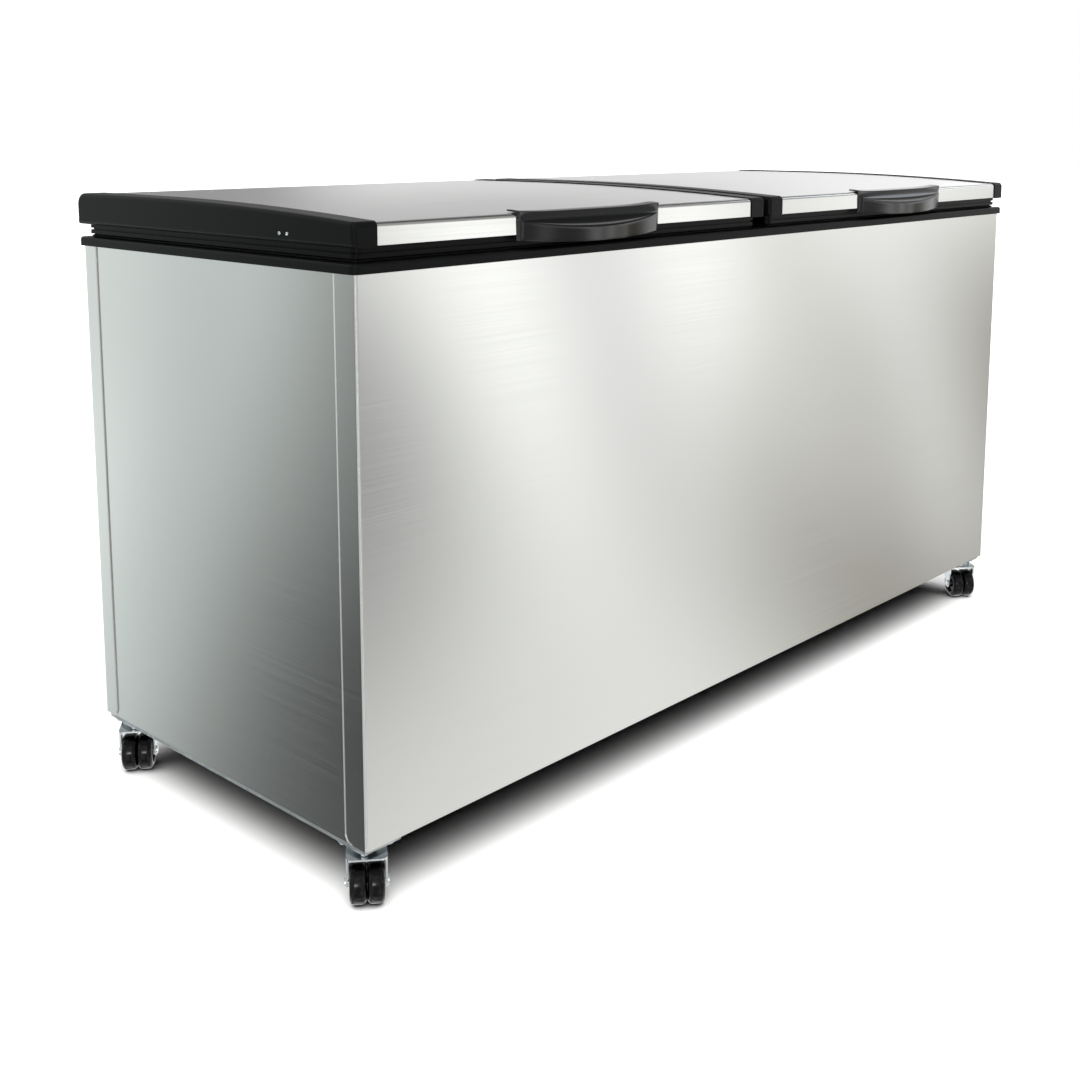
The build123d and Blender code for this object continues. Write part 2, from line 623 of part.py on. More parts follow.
def lid_skin(side, low, high):
    """The stainless sheet: top, folded front and back, with returns turned in underneath."""
    with BuildPart() as skin:
        with BuildSketch(Plane.YZ.offset(low + CAP_WIDTH)):
            add(lid_section(LID_STEP))
            add(lid_section(LID_STEP + SHEET), mode=Mode.SUBTRACT)
            with Locations((Y_MID, LID_BOTTOM + LID_STEP)):
                Rectangle(LID_BACK - LID_FRONT - 2 * SKIN_RETURN, 4 * SHEET, mode=Mode.SUBTRACT)
        extrude(amount=high - low - 2 * CAP_WIDTH)
    save(skin, f"{NAMES[side]}_lid_skin")


def lid_ring(low, high, inset):
    """Outline of a lid seen from above, set in evenly."""
    with BuildSketch() as outline:
        with Locations(((low + high) / 2, Y_MID)):
            RectangleRounded(high - low - 2 * inset, LID_BACK - LID_FRONT - 2 * inset, RIM_CORNER)
    return outline.sketch


def lid_frame(side, low, high):
    """The black lower frame, with a groove all round its outside."""
    inner = LID_FRAME_INSET + LID_FRAME_WIDTH
    with BuildPart() as ring:
        with BuildSketch(Plane.XY.offset(FRAME_BOTTOM)):
            add(lid_ring(low, high, LID_FRAME_INSET))
            add(lid_ring(low, high, inner), mode=Mode.SUBTRACT)
        extrude(amount=LID_FRAME_HEIGHT)
        with BuildSketch(Plane.XY.offset(FRAME_BOTTOM + (LID_FRAME_HEIGHT - GROOVE_HEIGHT) / 2)):
            add(lid_ring(low, high, LID_FRAME_INSET - GROOVE_DEPTH))
            add(lid_ring(low, high, LID_FRAME_INSET + GROOVE_DEPTH), mode=Mode.SUBTRACT)
        extrude(amount=GROOVE_HEIGHT, mode=Mode.SUBTRACT)
    save(ring, f"{NAMES[side]}_lid_frame")


def lid_gasket(side, low, high):
    """The magnetic seal under the frame: a bellows section, pinched at mid height."""
    outer, inner = GASKET_INSET, GASKET_INSET + GASKET_WIDTH
    height = GASKET_GAP - GASKET_REST
    with BuildPart() as seal:
        for start, pinch in ((0, 0), (1 / 3, GASKET_WAIST), (2 / 3, 0)):
            with BuildSketch(Plane.XY.offset(FRAME_BOTTOM - height * (1 - start))):
                add(lid_ring(low, high, outer + pinch))
                add(lid_ring(low, high, inner - pinch), mode=Mode.SUBTRACT)
            extrude(amount=height / 3)
    save(seal, f"{NAMES[side]}_lid_gasket")


def lid_inside(side, low, high):
    """The white inner panel, dished down into the mouth, and the foam above it."""
    edge = LID_FRAME_INSET + LID_FRAME_WIDTH + FIT
    dish = edge + LID_PANEL_MARGIN
    with BuildPart() as panel:
        with BuildSketch(Plane.XY.offset(FRAME_BOTTOM)):
            add(lid_ring(low, high, edge))
        extrude(amount=LID_PANEL)
        with BuildSketch(Plane.XY.offset(FRAME_BOTTOM)):
            add(lid_ring(low, high, dish))
        extrude(amount=-LID_PANEL_DISH, taper=45)
        with BuildSketch(Plane.XY.offset(FRAME_BOTTOM + LID_PANEL)):
            add(lid_ring(low, high, dish + LID_PANEL))
        extrude(amount=-LID_PANEL_DISH, taper=45, mode=Mode.SUBTRACT)
    save(panel, f"{NAMES[side]}_lid_inner_panel")

    core = CAP_WALL + FIT
    with BuildPart() as foam:
        with BuildSketch(Plane.YZ.offset(low + core)):
            add(lid_section(core))
        extrude(amount=high - low - 2 * core)
        with BuildSketch(Plane.XY.offset(FRAME_BOTTOM + LID_PANEL + FIT)):
            add(lid_ring(low, high, edge))
        extrude(amount=LID_FRAME_HEIGHT + core)
    save(foam, f"{NAMES[side]}_lid_insulation")


# Pull handle on the front edge: a lip that bows out, scooped above, hollow below for the fingers
def handle_section(share):
    """Side view of a handle at a share of its half length from the middle."""
    out = share**2
    face = LID_FRONT + LID_STEP
    bulge = HANDLE_BULGE - (HANDLE_BULGE - HANDLE_END_BULGE) * out
    edge = face - HANDLE_LAP
    crease = LID_BOTTOM + CREASE_RISE + CREASE_BOW * out
    foot = FRAME_BOTTOM + FOOT_RISE + FOOT_BOW * out
    nose = LID_TOP - LID_DROP + NOSE_RISE
    scoop = ((edge - bulge + face) / 2 + SCOOP_IN * bulge, (nose + crease) / 2 - SCOOP_DOWN * bulge)
    with BuildSketch() as section:
        with BuildLine():
            ThreePointArc((edge, nose), scoop, (face - bulge, crease))
            Polyline(
                (face - bulge, crease),
                (face - bulge + HANDLE_LAP, foot),
                (face + HANDLE_SEAT, foot),
                (face + HANDLE_SEAT, LID_BOTTOM + SEAT_LOW),
                (face + HANDLE_FLANGE, LID_BOTTOM + SEAT_HIGH),
                (face + HANDLE_FLANGE, nose + BROW_RISE),
                (edge, nose),
            )
        make_face()
    return section.sketch


def lid_handle(side, low, high):
    """One handle at the middle of a lid, cut to the skin that it sits on."""
    middle, half = (low + high) / 2, HANDLE_LENGTH / 2
    face = LID_FRONT + LID_STEP
    grip = FINGER_LENGTH / 2
    lip = HANDLE_BULGE - HANDLE_WALL
    lip_end = lip - (HANDLE_BULGE - HANDLE_END_BULGE) * (grip / half) ** 2
    with BuildPart() as handle:
        for share in HANDLE_SIDES:
            with BuildSketch(Plane.YZ.offset(middle + share * half)):
                add(handle_section(share))
        loft()
        with BuildSketch(Plane.YZ.offset(low)):
            add(lid_section(LID_STEP))
        extrude(amount=high - low, mode=Mode.SUBTRACT)
        with BuildSketch(Plane.XY.offset(FRAME_BOTTOM)):
            with BuildLine():
                ThreePointArc(
                    (middle - grip, face - lip_end), (middle, face - lip), (middle + grip, face - lip_end)
                )
                Polyline(
                    (middle + grip, face - lip_end),
                    (middle + grip, face - HANDLE_LAP),
                    (middle - grip, face - HANDLE_LAP),
                    (middle - grip, face - lip_end),
                )
            make_face()
        extrude(amount=LID_FRAME_HEIGHT + FINGER_RISE, mode=Mode.SUBTRACT)
    save(handle, f"{NAMES[side]}_lid_handle")


def hinge_places(low, high):
    """Middles of a lid's two hinges along X."""
    middle = (low + high) / 2
    return (middle - HINGE_SPREAD, middle + HINGE_SPREAD)


def hinge_leaf(side, low, high):
    """The moving leaves: plates on the lid's back, each with one middle knuckle."""
    back = LID_BACK - LID_STEP
    with BuildPart() as leaf:
        for x in hinge_places(low, high):
            block(
                (x - HINGE_WIDTH / 2, back, LID_BOTTOM + LEAF_RISE),
                (x + HINGE_WIDTH / 2, back + HINGE_PLATE, LID_BOTTOM + LEAF_RISE + LEAF_HEIGHT),
            )
            with BuildSketch(Plane.YZ.offset(x - HINGE_KNUCKLE / 2)):
                with BuildLine():
                    Polyline(
                        (back, LID_BOTTOM + LEAF_ARM_HIGH),
                        (back, LID_BOTTOM + LEAF_ARM_LOW),
                        (HINGE_Y - LEAF_ARM_HALF, HINGE_Z),
                        (HINGE_Y + LEAF_ARM_HALF, HINGE_Z + LEAF_ARM_HALF),
                        (back + HINGE_PLATE, LID_BOTTOM + LEAF_ARM_BEND),
                        (back + HINGE_PLATE, LID_BOTTOM + LEAF_ARM_HIGH),
                        close=True,
                    )
                make_face()
                with Locations((HINGE_Y, HINGE_Z)):
                    Circle(KNUCKLE_RADIUS)
            extrude(amount=HINGE_KNUCKLE)
            with BuildSketch(Plane.YZ.offset(x - HINGE_KNUCKLE)):
                with Locations((HINGE_Y, HINGE_Z)):
                    Circle(PIN_RADIUS + PIN_PLAY)
            extrude(amount=2 * HINGE_KNUCKLE, mode=Mode.SUBTRACT)
    save(leaf, f"{NAMES[side]}_lid_hinge_leaves")


def lid_screws(side, low, high, outer):
    """Pan heads on the outer cap's end and on the hinge leaves."""
    leaf_face = LID_BACK - LID_STEP + HINGE_PLATE
    with BuildPart() as heads:
        with BuildSketch(Plane.YZ.offset(outer)):
            with Locations((LID_FRONT + CAP_SCREW_BACK, LID_BOTTOM + CAP_SCREW_RISE)):
                with GridLocations(CAP_SCREW_PITCH, 0, 2, 1):
                    Circle(CAP_SCREW_RADIUS)
        extrude(amount=side * SCREW_HEAD)
        for x in hinge_places(low, high):
            with BuildSketch(Plane.XZ.offset(-leaf_face)):
                with Locations((x, LID_BOTTOM + LEAF_SCREW_RISE)):
                    with GridLocations(SCREW_SPREAD * HINGE_WIDTH, 0, 2, 1):
                        Circle(SCREW_RADIUS)
            extrude(amount=-SCREW_HEAD)
    save(heads, f"{NAMES[side]}_lid_screws")


NAMES = {-1: "left", 1: "right"}
LIDS = {-1: (-LID_END, -LID_GAP / 2), 1: (LID_GAP / 2, LID_END)}
for side, (low, high) in LIDS.items():
    outer, inner = (low, high) if side < 0 else (high, low)
    lid_caps(side, outer, inner)
    lid_skin(side, low, high)
    lid_frame(side, low, high)
    lid_gasket(side, low, high)
    lid_inside(side, low, high)
    lid_handle(side, low, high)
    hinge_leaf(side, low, high)
    lid_screws(side, low, high, outer)

# Fixed hinge leaves on the rear panel, cranked out past the rim, and the pins through the knuckles
hinge_xs = [x for low, high in LIDS.values() for x in hinge_places(low, high)]
base_low, base_high = PANEL_TOP - BASE_DROP, PANEL_TOP - BASE_DROP + BASE_HEIGHT
crank = RIM_OVERHANG + CRANK_GAP
with BuildPart() as hinge_bases:
    for x in hinge_xs:
        block((x - HINGE_WIDTH / 2, Y_BACK, base_low), (x + HINGE_WIDTH / 2, Y_BACK + HINGE_PLATE, base_high))
        arm = (HINGE_WIDTH - HINGE_KNUCKLE) / 2 - KNUCKLE_PLAY
        for start in (x - HINGE_WIDTH / 2, x + HINGE_WIDTH / 2 - arm):
            with BuildSketch(Plane.YZ.offset(start)):
                with BuildLine():
                    Polyline(
                        (Y_BACK, base_high - BASE_SHOULDER),
                        (Y_BACK + HINGE_PLATE, base_high - BASE_SHOULDER),
                        (Y_BACK + crank + HINGE_PLATE, PANEL_TOP - CRANK_LOW),
                        (Y_BACK + crank + HINGE_PLATE, HINGE_Z),
                        (Y_BACK + crank, HINGE_Z),
                        (Y_BACK + crank, PANEL_TOP - CRANK_HIGH),
                        (Y_BACK, base_high),
                        close=True,
                    )
                make_face()
                with Locations((HINGE_Y, HINGE_Z)):
                    Circle(KNUCKLE_RADIUS)
            extrude(amount=arm)
        with BuildSketch(Plane.YZ.offset(x - HINGE_WIDTH)):
            with Locations((HINGE_Y, HINGE_Z)):
                Circle(PIN_RADIUS + PIN_PLAY)
        extrude(amount=2 * HINGE_WIDTH, mode=Mode.SUBTRACT)
save(hinge_bases, "hinge_bases")

with BuildPart() as hinge_pins:
    for x in hinge_xs:
        with Locations(Plane(origin=(x, HINGE_Y, HINGE_Z), z_dir=(1, 0, 0))):
            Cylinder(PIN_RADIUS, HINGE_WIDTH + 2 * FIT)
        for end in (-1, 1):
            head_x = x + end * (HINGE_WIDTH / 2 + FIT + PIN_HEAD_THICK / 2)
            with Locations(Plane(origin=(head_x, HINGE_Y, HINGE_Z), z_dir=(1, 0, 0))):
                Cylinder(PIN_HEAD, PIN_HEAD_THICK)
save(hinge_pins, "hinge_pins")

# Screw heads on the fixed hinge leaves and at the corners of the grille
with BuildPart() as panel_screws:
    for x in hinge_xs:
        with BuildSketch(Plane.XZ.offset(-Y_BACK - HINGE_PLATE)):
            with Locations((x, (base_low + base_high - BASE_SCREW_PITCH / 2) / 2)):
                with GridLocations(SCREW_SPREAD * HINGE_WIDTH, BASE_SCREW_PITCH, 2, 2):
                    Circle(SCREW_RADIUS)
        extrude(amount=-SCREW_HEAD)
    with BuildSketch(Plane.YZ.offset(plate_high)):
        with Locations((Y_MID, grille_mid_z)):
            with GridLocations(GRILLE_WIDTH - GRILLE_MARGIN, GRILLE_HEIGHT - GRILLE_MARGIN, 2, 2):
                Circle(SCREW_RADIUS)
    extrude(amount=SCREW_HEAD)
save(panel_screws, "panel_screws")

# Castors: a plate and kingpin under each rail end, a swivelling fork, an axle and twin wheels
castor_front, castor_back = Y_FRONT + CASTOR_INSET_Y, Y_BACK - CASTOR_INSET_Y
CASTORS = {
    "front_left": (-rail_x, castor_front, CASTOR_ANGLE),
    "front_right": (rail_x, castor_front, CASTOR_ANGLE),
    "rear_left": (-rail_x, castor_back, CASTOR_ANGLE),
    "rear_right": (rail_x, castor_back, CASTOR_ANGLE + 180),
}
plate_top = PAN_BOTTOM - RAIL_HEIGHT
race_top = plate_top - CASTOR_PLATE
fork_under = FORK_TOP - FORK_SHEET
with BuildPart() as castor_plates:
    for x, y, angle in CASTORS.values():
        with BuildSketch(Plane.XY.offset(race_top)):
            with Locations((x, y)):
                RectangleRounded(PLATE_X, PLATE_Y, PLATE_CORNER)
        extrude(amount=CASTOR_PLATE)
        with BuildSketch(Plane(origin=(x, y, 0), x_dir=(1, 0, 0), z_dir=(0, -1, 0))):
            with BuildLine():
                Polyline(
                    (0, race_top),
                    (RACE_RADIUS, race_top),
                    (RACE_FOOT, FORK_TOP + RACE_GAP),
                    (KINGPIN_RADIUS, FORK_TOP + RACE_GAP),
                    (KINGPIN_RADIUS, fork_under - RACE_GAP),
                    (KINGPIN_HEAD, fork_under - RACE_GAP),
                    (KINGPIN_HEAD, fork_under - RACE_GAP - KINGPIN_HEAD_THICK),
                    (0, fork_under - RACE_GAP - KINGPIN_HEAD_THICK),
                    close=True,
                )
            make_face()
        revolve(axis=Axis((x, y, 0), (0, 0, 1)))
        with BuildSketch(Plane.XY.offset(race_top)):
            with Locations((x, y)):
                with GridLocations(PLATE_BOLT_X, PLATE_BOLT_Y, 2, 2):
                    RegularPolygon(PLATE_BOLT, 6)
        extrude(amount=-PLATE_BOLT_HEAD)
save(castor_plates, "castor_plates")

fork_inside = WHEEL_WIDTH + WHEEL_GAP / 2 + FORK_SIDE_PLAY
fork_outside = fork_inside + FORK_SHEET
for place, (x, y, angle) in CASTORS.items():
    axle_dir = Vector(cos(radians(angle)), sin(radians(angle)), 0)
    roll_dir = Vector(-axle_dir.Y, axle_dir.X, 0)
    plan = Plane(origin=(x, y, 0), x_dir=axle_dir, z_dir=(0, 0, 1))
    profile = Plane(origin=(x, y, 0), x_dir=roll_dir, z_dir=axle_dir)
    axle_end = fork_outside + AXLE_HEAD_THICK

    with BuildPart() as fork:
        with BuildSketch(plan.offset(fork_under)):
            with Locations((0, -FORK_TRAIL / 2)):
                RectangleRounded(2 * fork_outside, FORK_TRAIL + 2 * FORK_NOSE, FORK_CORNER)
            Circle(KINGPIN_RADIUS + KINGPIN_PLAY, mode=Mode.SUBTRACT)
        extrude(amount=FORK_SHEET)
        for start in (-fork_outside, fork_inside):
            with BuildSketch(profile.offset(start)):
                with BuildLine():
                    Polyline(
                        (FORK_NOSE - FORK_CORNER, FORK_TOP - FORK_LAP),
                        (-FORK_TRAIL - FORK_NOSE + FORK_CORNER, FORK_TOP - FORK_LAP),
                        (-FORK_TRAIL - FORK_BOSS, WHEEL_RADIUS),
                        (-FORK_TRAIL + FORK_BOSS, WHEEL_RADIUS),
                        close=True,
                    )
                make_face()
                with Locations((-FORK_TRAIL, WHEEL_RADIUS)):
                    Circle(FORK_BOSS)
                    Circle(AXLE_RADIUS + AXLE_PLAY, mode=Mode.SUBTRACT)
            extrude(amount=FORK_SHEET)
    save(fork, f"castor_fork_{place}")

    with BuildPart() as axle:
        with BuildSketch(profile.offset(-axle_end)):
            with Locations((-FORK_TRAIL, WHEEL_RADIUS)):
                Circle(AXLE_RADIUS)
        extrude(amount=2 * axle_end)
        for start in (-axle_end, fork_outside + FIT / 4):
            with BuildSketch(profile.offset(start)):
                with Locations((-FORK_TRAIL, WHEEL_RADIUS)):
                    Circle(AXLE_HEAD)
            extrude(amount=AXLE_HEAD_THICK - FIT / 4)
    save(axle, f"castor_axle_{place}")

    hub = plan.from_local_coords((0, -FORK_TRAIL, WHEEL_RADIUS))
    turning = Plane(origin=hub, x_dir=axle_dir, z_dir=-roll_dir)
    with BuildPart() as wheels:
        with BuildSketch(turning):
            for start in (WHEEL_GAP / 2, -WHEEL_GAP / 2 - WHEEL_WIDTH):
                with BuildLine():
                    Polyline(
                        (start, AXLE_RADIUS + AXLE_PLAY),
                        (start + WHEEL_WIDTH, AXLE_RADIUS + AXLE_PLAY),
                        (start + WHEEL_WIDTH, HUB_RADIUS),
                        (start + WHEEL_WIDTH - WEB_DEPTH, WEB_INNER),
                        (start + WHEEL_WIDTH - WEB_DEPTH, WEB_OUTER),
                        (start + WHEEL_WIDTH, WEB_OUTER + TYRE_SHOULDER),
                        (start + WHEEL_WIDTH, WHEEL_RADIUS - TYRE_EDGE),
                        (start + WHEEL_WIDTH - TYRE_EDGE, WHEEL_RADIUS),
                        (start + TYRE_EDGE, WHEEL_RADIUS),
                        (start, WHEEL_RADIUS - TYRE_EDGE),
                        (start, WEB_OUTER + TYRE_SHOULDER),
                        (start + WEB_DEPTH, WEB_OUTER),
                        (start + WEB_DEPTH, WEB_INNER),
                        (start, HUB_RADIUS),
                        close=True,
                    )
                make_face()
        revolve(axis=Axis(hub, axle_dir))
    save(wheels, f"castor_wheels_{place}")
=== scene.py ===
from math import cos, pi, radians, sin

import bmesh
import bpy
from mathutils import Matrix, Vector


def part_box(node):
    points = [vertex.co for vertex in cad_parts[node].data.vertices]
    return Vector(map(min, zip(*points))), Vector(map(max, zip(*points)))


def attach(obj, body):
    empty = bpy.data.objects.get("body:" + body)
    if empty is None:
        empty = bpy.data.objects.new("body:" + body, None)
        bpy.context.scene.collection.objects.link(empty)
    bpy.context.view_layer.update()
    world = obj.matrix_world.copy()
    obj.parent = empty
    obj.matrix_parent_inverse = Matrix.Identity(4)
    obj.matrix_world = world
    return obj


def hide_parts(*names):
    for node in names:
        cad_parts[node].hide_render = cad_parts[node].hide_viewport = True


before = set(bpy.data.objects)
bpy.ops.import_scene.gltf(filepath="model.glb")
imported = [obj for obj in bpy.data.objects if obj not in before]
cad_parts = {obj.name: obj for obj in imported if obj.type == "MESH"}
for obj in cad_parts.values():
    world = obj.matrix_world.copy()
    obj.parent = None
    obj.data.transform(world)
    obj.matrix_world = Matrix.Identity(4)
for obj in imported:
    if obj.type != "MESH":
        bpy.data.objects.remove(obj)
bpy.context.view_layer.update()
bpy.ops.object.select_all(action="DESELECT")


# Outer panels: two folded sheets wrap the front and rear corners, and two flat sheets are tucked
# under their flanges. They are satin stainless steel, cut and punched flat and then folded.
def linear(hex_colour):
    """An sRGB hex colour as the linear RGBA that a shader socket takes."""
    channels = [int(hex_colour[start:start + 2], 16) / 255 for start in (1, 3, 5)]
    return tuple(c / 12.92 if c <= 0.04045 else ((c + 0.055) / 1.055) ** 2.4 for c in channels) + (1,)


def node(tree, kind, sockets=None, **settings):
    """Adds a shader node: settings are its properties, sockets are values or other nodes' outputs."""
    made = tree.nodes.new(f"ShaderNode{kind}")
    for name, value in settings.items():
        setattr(made, name, value)
    for name, value in (sockets or {}).items():
        if isinstance(value, bpy.types.NodeSocket):
            tree.links.new(value, made.inputs[name])
        else:
            made.inputs[name].default_value = value
    return made


def finish_named(name, sockets):
    """A new material with one principled shader; returns it with its tree and shader."""
    made = bpy.data.materials.new(name)
    made.use_nodes = True
    shader = made.node_tree.nodes["Principled BSDF"]
    for socket, value in sockets.items():
        shader.inputs[socket].default_value = value
    return made, made.node_tree, shader


def dress(material, *names):
    """Gives CAD nodes their finish."""
    for name in names:
        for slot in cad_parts[name].material_slots:
            slot.material = material


def two_tone(tree, factor, dark, light):
    """A colour that wanders between two tones as the factor does."""
    mix = node(tree, "Mix", {"Factor": factor, "A": linear(dark), "B": linear(light)}, data_type="RGBA")
    return mix.outputs["Result"]


# The real grain is about 0.1 mm wide; it is drawn 1.2 mm wide so that it still shows close up.
GRAIN_LENGTH, GRAIN_WIDTH, GRAIN_DEPTH, GRAIN_SHOWS = 0.4, 0.0012, 0.0001, 0.012
STEEL_DARK, STEEL_LIGHT, STEEL_PATCH = "#C9CAC8", "#D1D2D0", 0.4545
STEEL_DRAW, STEEL_SMOOTH, STEEL_ROUGH = 0.7, 0.17, 0.21


def satin_stainless(name, grain, tangent_axis, turn):
    """Cold-rolled stainless with a fine satin grain: what it mirrors is drawn out into soft broad bands."""
    brushed = {"Metallic": 1, "Anisotropic": STEEL_DRAW, "Anisotropic Rotation": turn}
    made, tree, shader = finish_named(name, brushed)
    place = node(tree, "TexCoord").outputs["Object"]
    lines = node(tree, "Mapping", {"Vector": place, "Scale": [1 / size for size in grain]})
    drawn = lines.outputs["Vector"]
    streak = node(tree, "TexNoise", {"Vector": drawn, "Scale": 1, "Detail": 3}).outputs["Fac"]
    roll = node(tree, "TexNoise", {"Vector": place, "Scale": 1 / STEEL_PATCH, "Detail": 1}).outputs["Fac"]
    span = {"From Min": 0.3, "From Max": 0.7, "To Min": STEEL_SMOOTH, "To Max": STEEL_ROUGH}
    gloss = node(tree, "MapRange", {"Value": streak, **span})
    relief = node(tree, "Bump", {"Height": streak, "Strength": GRAIN_SHOWS, "Distance": GRAIN_DEPTH})
    axis = node(tree, "Tangent", direction_type="RADIAL", axis=tangent_axis)
    tree.links.new(two_tone(tree, roll, STEEL_DARK, STEEL_LIGHT), shader.inputs["Base Color"])
    tree.links.new(gloss.outputs["Result"], shader.inputs["Roughness"])
    tree.links.new(relief.outputs["Normal"], shader.inputs["Normal"])
    tree.links.new(axis.outputs["Tangent"], shader.inputs["Tangent"])
    return made


QUARTER_TURN = 0.25
upright_grain = (GRAIN_LENGTH, GRAIN_LENGTH, GRAIN_WIDTH)
panel_steel = satin_stainless("satin_stainless_panel", upright_grain, "Z", QUARTER_TURN)
dress(panel_steel, "front_panel", "rear_panel", "left_side_panel", "right_side_panel")


# Flange hems: the free edge of each flange is rolled back on itself, so that no raw edge shows. It
# stands a little proud of the side sheet and draws a thin bright line down the cabinet.
HEM_RADIUS, HEM_CORNER, HEM_FACETS, HEM_STEPS = 0.0014, 0.014, 10, 8
MERGE = 0.00001
SMOOTH_ANGLE = radians(32)


def settle(name, material, body, slot, *replaced):
    """Ends a piece: its place goes into the mesh, and it gets its shading, finish and body. The slot is not
    used.
    """
    if bpy.context.object.mode == "EDIT":
        bpy.ops.object.mode_set(mode="OBJECT")
    piece = bpy.context.object
    piece.name = piece.data.name = name
    bpy.ops.object.transform_apply(location=True, rotation=True, scale=True)
    bpy.ops.object.shade_smooth_by_angle(angle=SMOOTH_ANGLE)
    piece.data.materials.clear()
    piece.data.materials.append(material)
    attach(piece, body)
    if replaced:
        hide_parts(*replaced)
    bpy.ops.object.select_all(action="DESELECT")
    return piece


def weld():
    """Merges doubles and turns every face of the edited mesh outwards."""
    bpy.ops.mesh.select_all(action="SELECT")
    bpy.ops.mesh.remove_doubles(threshold=MERGE)
    bpy.ops.mesh.normals_make_consistent(inside=False)


def flange_hem(name, x, edge_y, top, bottom, fold):
    """One hem, down the flange's edge and round its lower corner towards the fold."""
    corner_z = bottom + HEM_CORNER
    corner = (x, edge_y + fold * HEM_CORNER, corner_z)
    bpy.ops.mesh.primitive_circle_add(
        vertices=HEM_FACETS, radius=HEM_RADIUS, fill_type="NGON", location=(x, edge_y, top)
    )
    bpy.ops.object.transform_apply(location=True)
    bpy.ops.object.mode_set(mode="EDIT")
    bpy.ops.mesh.extrude_region_move(TRANSFORM_OT_translate={"value": (0, 0, corner_z - top)})
    bpy.ops.mesh.spin(steps=HEM_STEPS, angle=-fold * pi / 2, center=corner, axis=(1, 0, 0))
    weld()
    return settle(name, panel_steel, "cabinet", "stainless_steel")


for panel, fold in (("front_panel", -1), ("rear_panel", 1)):
    panel_low, panel_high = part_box(panel)
    hem_y = panel_high.y if fold < 0 else panel_low.y
    for side, hem_x in (("left", panel_low.x), ("right", panel_high.x)):
        flange_hem(f"{side}_{panel}_hem", hem_x, hem_y, panel_high.z, panel_low.z, fold)


# Floor pan and rails: galvanised sheet, folded and screwed under the cabinet. The zinc has cooled into
# flat crystals a centimetre or two across, each a slightly different grey.
def mottled(name, sockets, patch, dark, light, texture="TexNoise", share="Fac", **pattern):
    """A finish whose colour wanders between two tones, in patches of a real size."""
    made, tree, shader = finish_named(name, sockets)
    place = node(tree, "TexCoord").outputs["Object"]
    patches = node(tree, texture, {"Vector": place, "Scale": 1 / patch, **pattern})
    tree.links.new(two_tone(tree, patches.outputs[share], dark, light), shader.inputs["Base Color"])
    return made


SPANGLE = 0.014
bare_zinc = {"Metallic": 1, "Roughness": 0.42}
galvanised = mottled("galvanised_steel", bare_zinc, SPANGLE, "#A3A8AA", "#C3C8CA", "TexVoronoi", "Color")
dress(galvanised, "base_pan", "base_rails", "compressor_tray")


# Tank: a white enamelled aluminium liner, stucco embossed before it was bent. The foam was poured
# between the liner and the shell, and set as a stiff straw-coloured block.
STUCCO_CELL, STUCCO_DEPTH, STUCCO_SHOWS, FOAM_CELL = 0.006, 0.0008, 0.35, 0.003
enamel, tree, shader = finish_named(
    "white_enamelled_stucco_aluminium", {"Base Color": linear("#E9ECEB"), "Roughness": 0.28}
)
place = node(tree, "TexCoord").outputs["Object"]
cell = node(tree, "TexVoronoi", {"Vector": place, "Scale": 1 / STUCCO_CELL}, feature="SMOOTH_F1")
embossing = {"Height": cell.outputs["Distance"], "Strength": STUCCO_SHOWS, "Distance": STUCCO_DEPTH}
tree.links.new(node(tree, "Bump", embossing).outputs["Normal"], shader.inputs["Normal"])
dress(enamel, "inner_liner")
foam = mottled("polyurethane_foam", {"Roughness": 0.9}, FOAM_CELL, "#C9B67C", "#E6D9A8", Detail=3)
dress(foam, "cabinet_insulation", "left_lid_insulation", "right_lid_insulation")


# Refrigerant circuit: drawn copper tube, bent to shape and brazed at its joints. The bright metal dulls
# to brown in soft patches a few centimetres across.
PATINA = 0.03
dull_metal = {"Metallic": 1, "Roughness": 0.35}
copper = mottled("drawn_copper", dull_metal, PATINA, "#8A5539", "#CE8A63", Detail=4)
dress(copper, "evaporator_coil", "condenser_coil", "refrigerant_pipes", "filter_drier")


# Rim, centre bar, lid frames, lid end caps and small fittings: black ABS, moulded with a fine
# spark-eroded texture that breaks the shine into a soft sheen.
PLASTIC_WASH, PITS_SHOW = 0.2, 0.25


def moulded_black(name, dark, light, roughness, shine, grain, depth):
    """Moulded black plastic with a fine grain."""
    made, tree, shader = finish_named(name, {"Roughness": roughness, "Specular IOR Level": shine})
    place = node(tree, "TexCoord").outputs["Object"]
    pits = node(tree, "TexNoise", {"Vector": place, "Scale": 1 / grain, "Detail": 2}).outputs["Fac"]
    wash = node(tree, "TexNoise", {"Vector": place, "Scale": 1 / PLASTIC_WASH, "Detail": 2}).outputs["Fac"]
    relief = node(tree, "Bump", {"Height": pits, "Strength": PITS_SHOW, "Distance": depth})
    tree.links.new(two_tone(tree, wash, dark, light), shader.inputs["Base Color"])
    tree.links.new(relief.outputs["Normal"], shader.inputs["Normal"])
    return made


black_abs = moulded_black(
    "moulded_black_abs", "#050606", "#0A0B0B", roughness=0.36, shine=0.08, grain=0.002, depth=0.0002
)
dress(black_abs, "top_rim", "centre_bar", "machine_grille", "thermostat", "cord_gland")
for side in ("left", "right"):
    dress(black_abs, f"{side}_lid_frame", f"{side}_lid_outer_cap", f"{side}_lid_inner_cap")


# Compressor: a pot of two pressed steel halves, welded together and enamelled black. It stands on rubber
# grommets and has a plastic cover over its relay.
enamelled, *_ = finish_named("black_enamelled_steel", {"Base Color": linear("#141516"), "Roughness": 0.28})
dress(enamelled, "compressor")
rubber = moulded_black(
    "black_rubber", "#0E0E0E", "#161616", roughness=0.75, shine=0.2, grain=0.003, depth=0.0003
)
dress(rubber, "compressor_grommets")
dress(black_abs, "compressor_relay_cover")


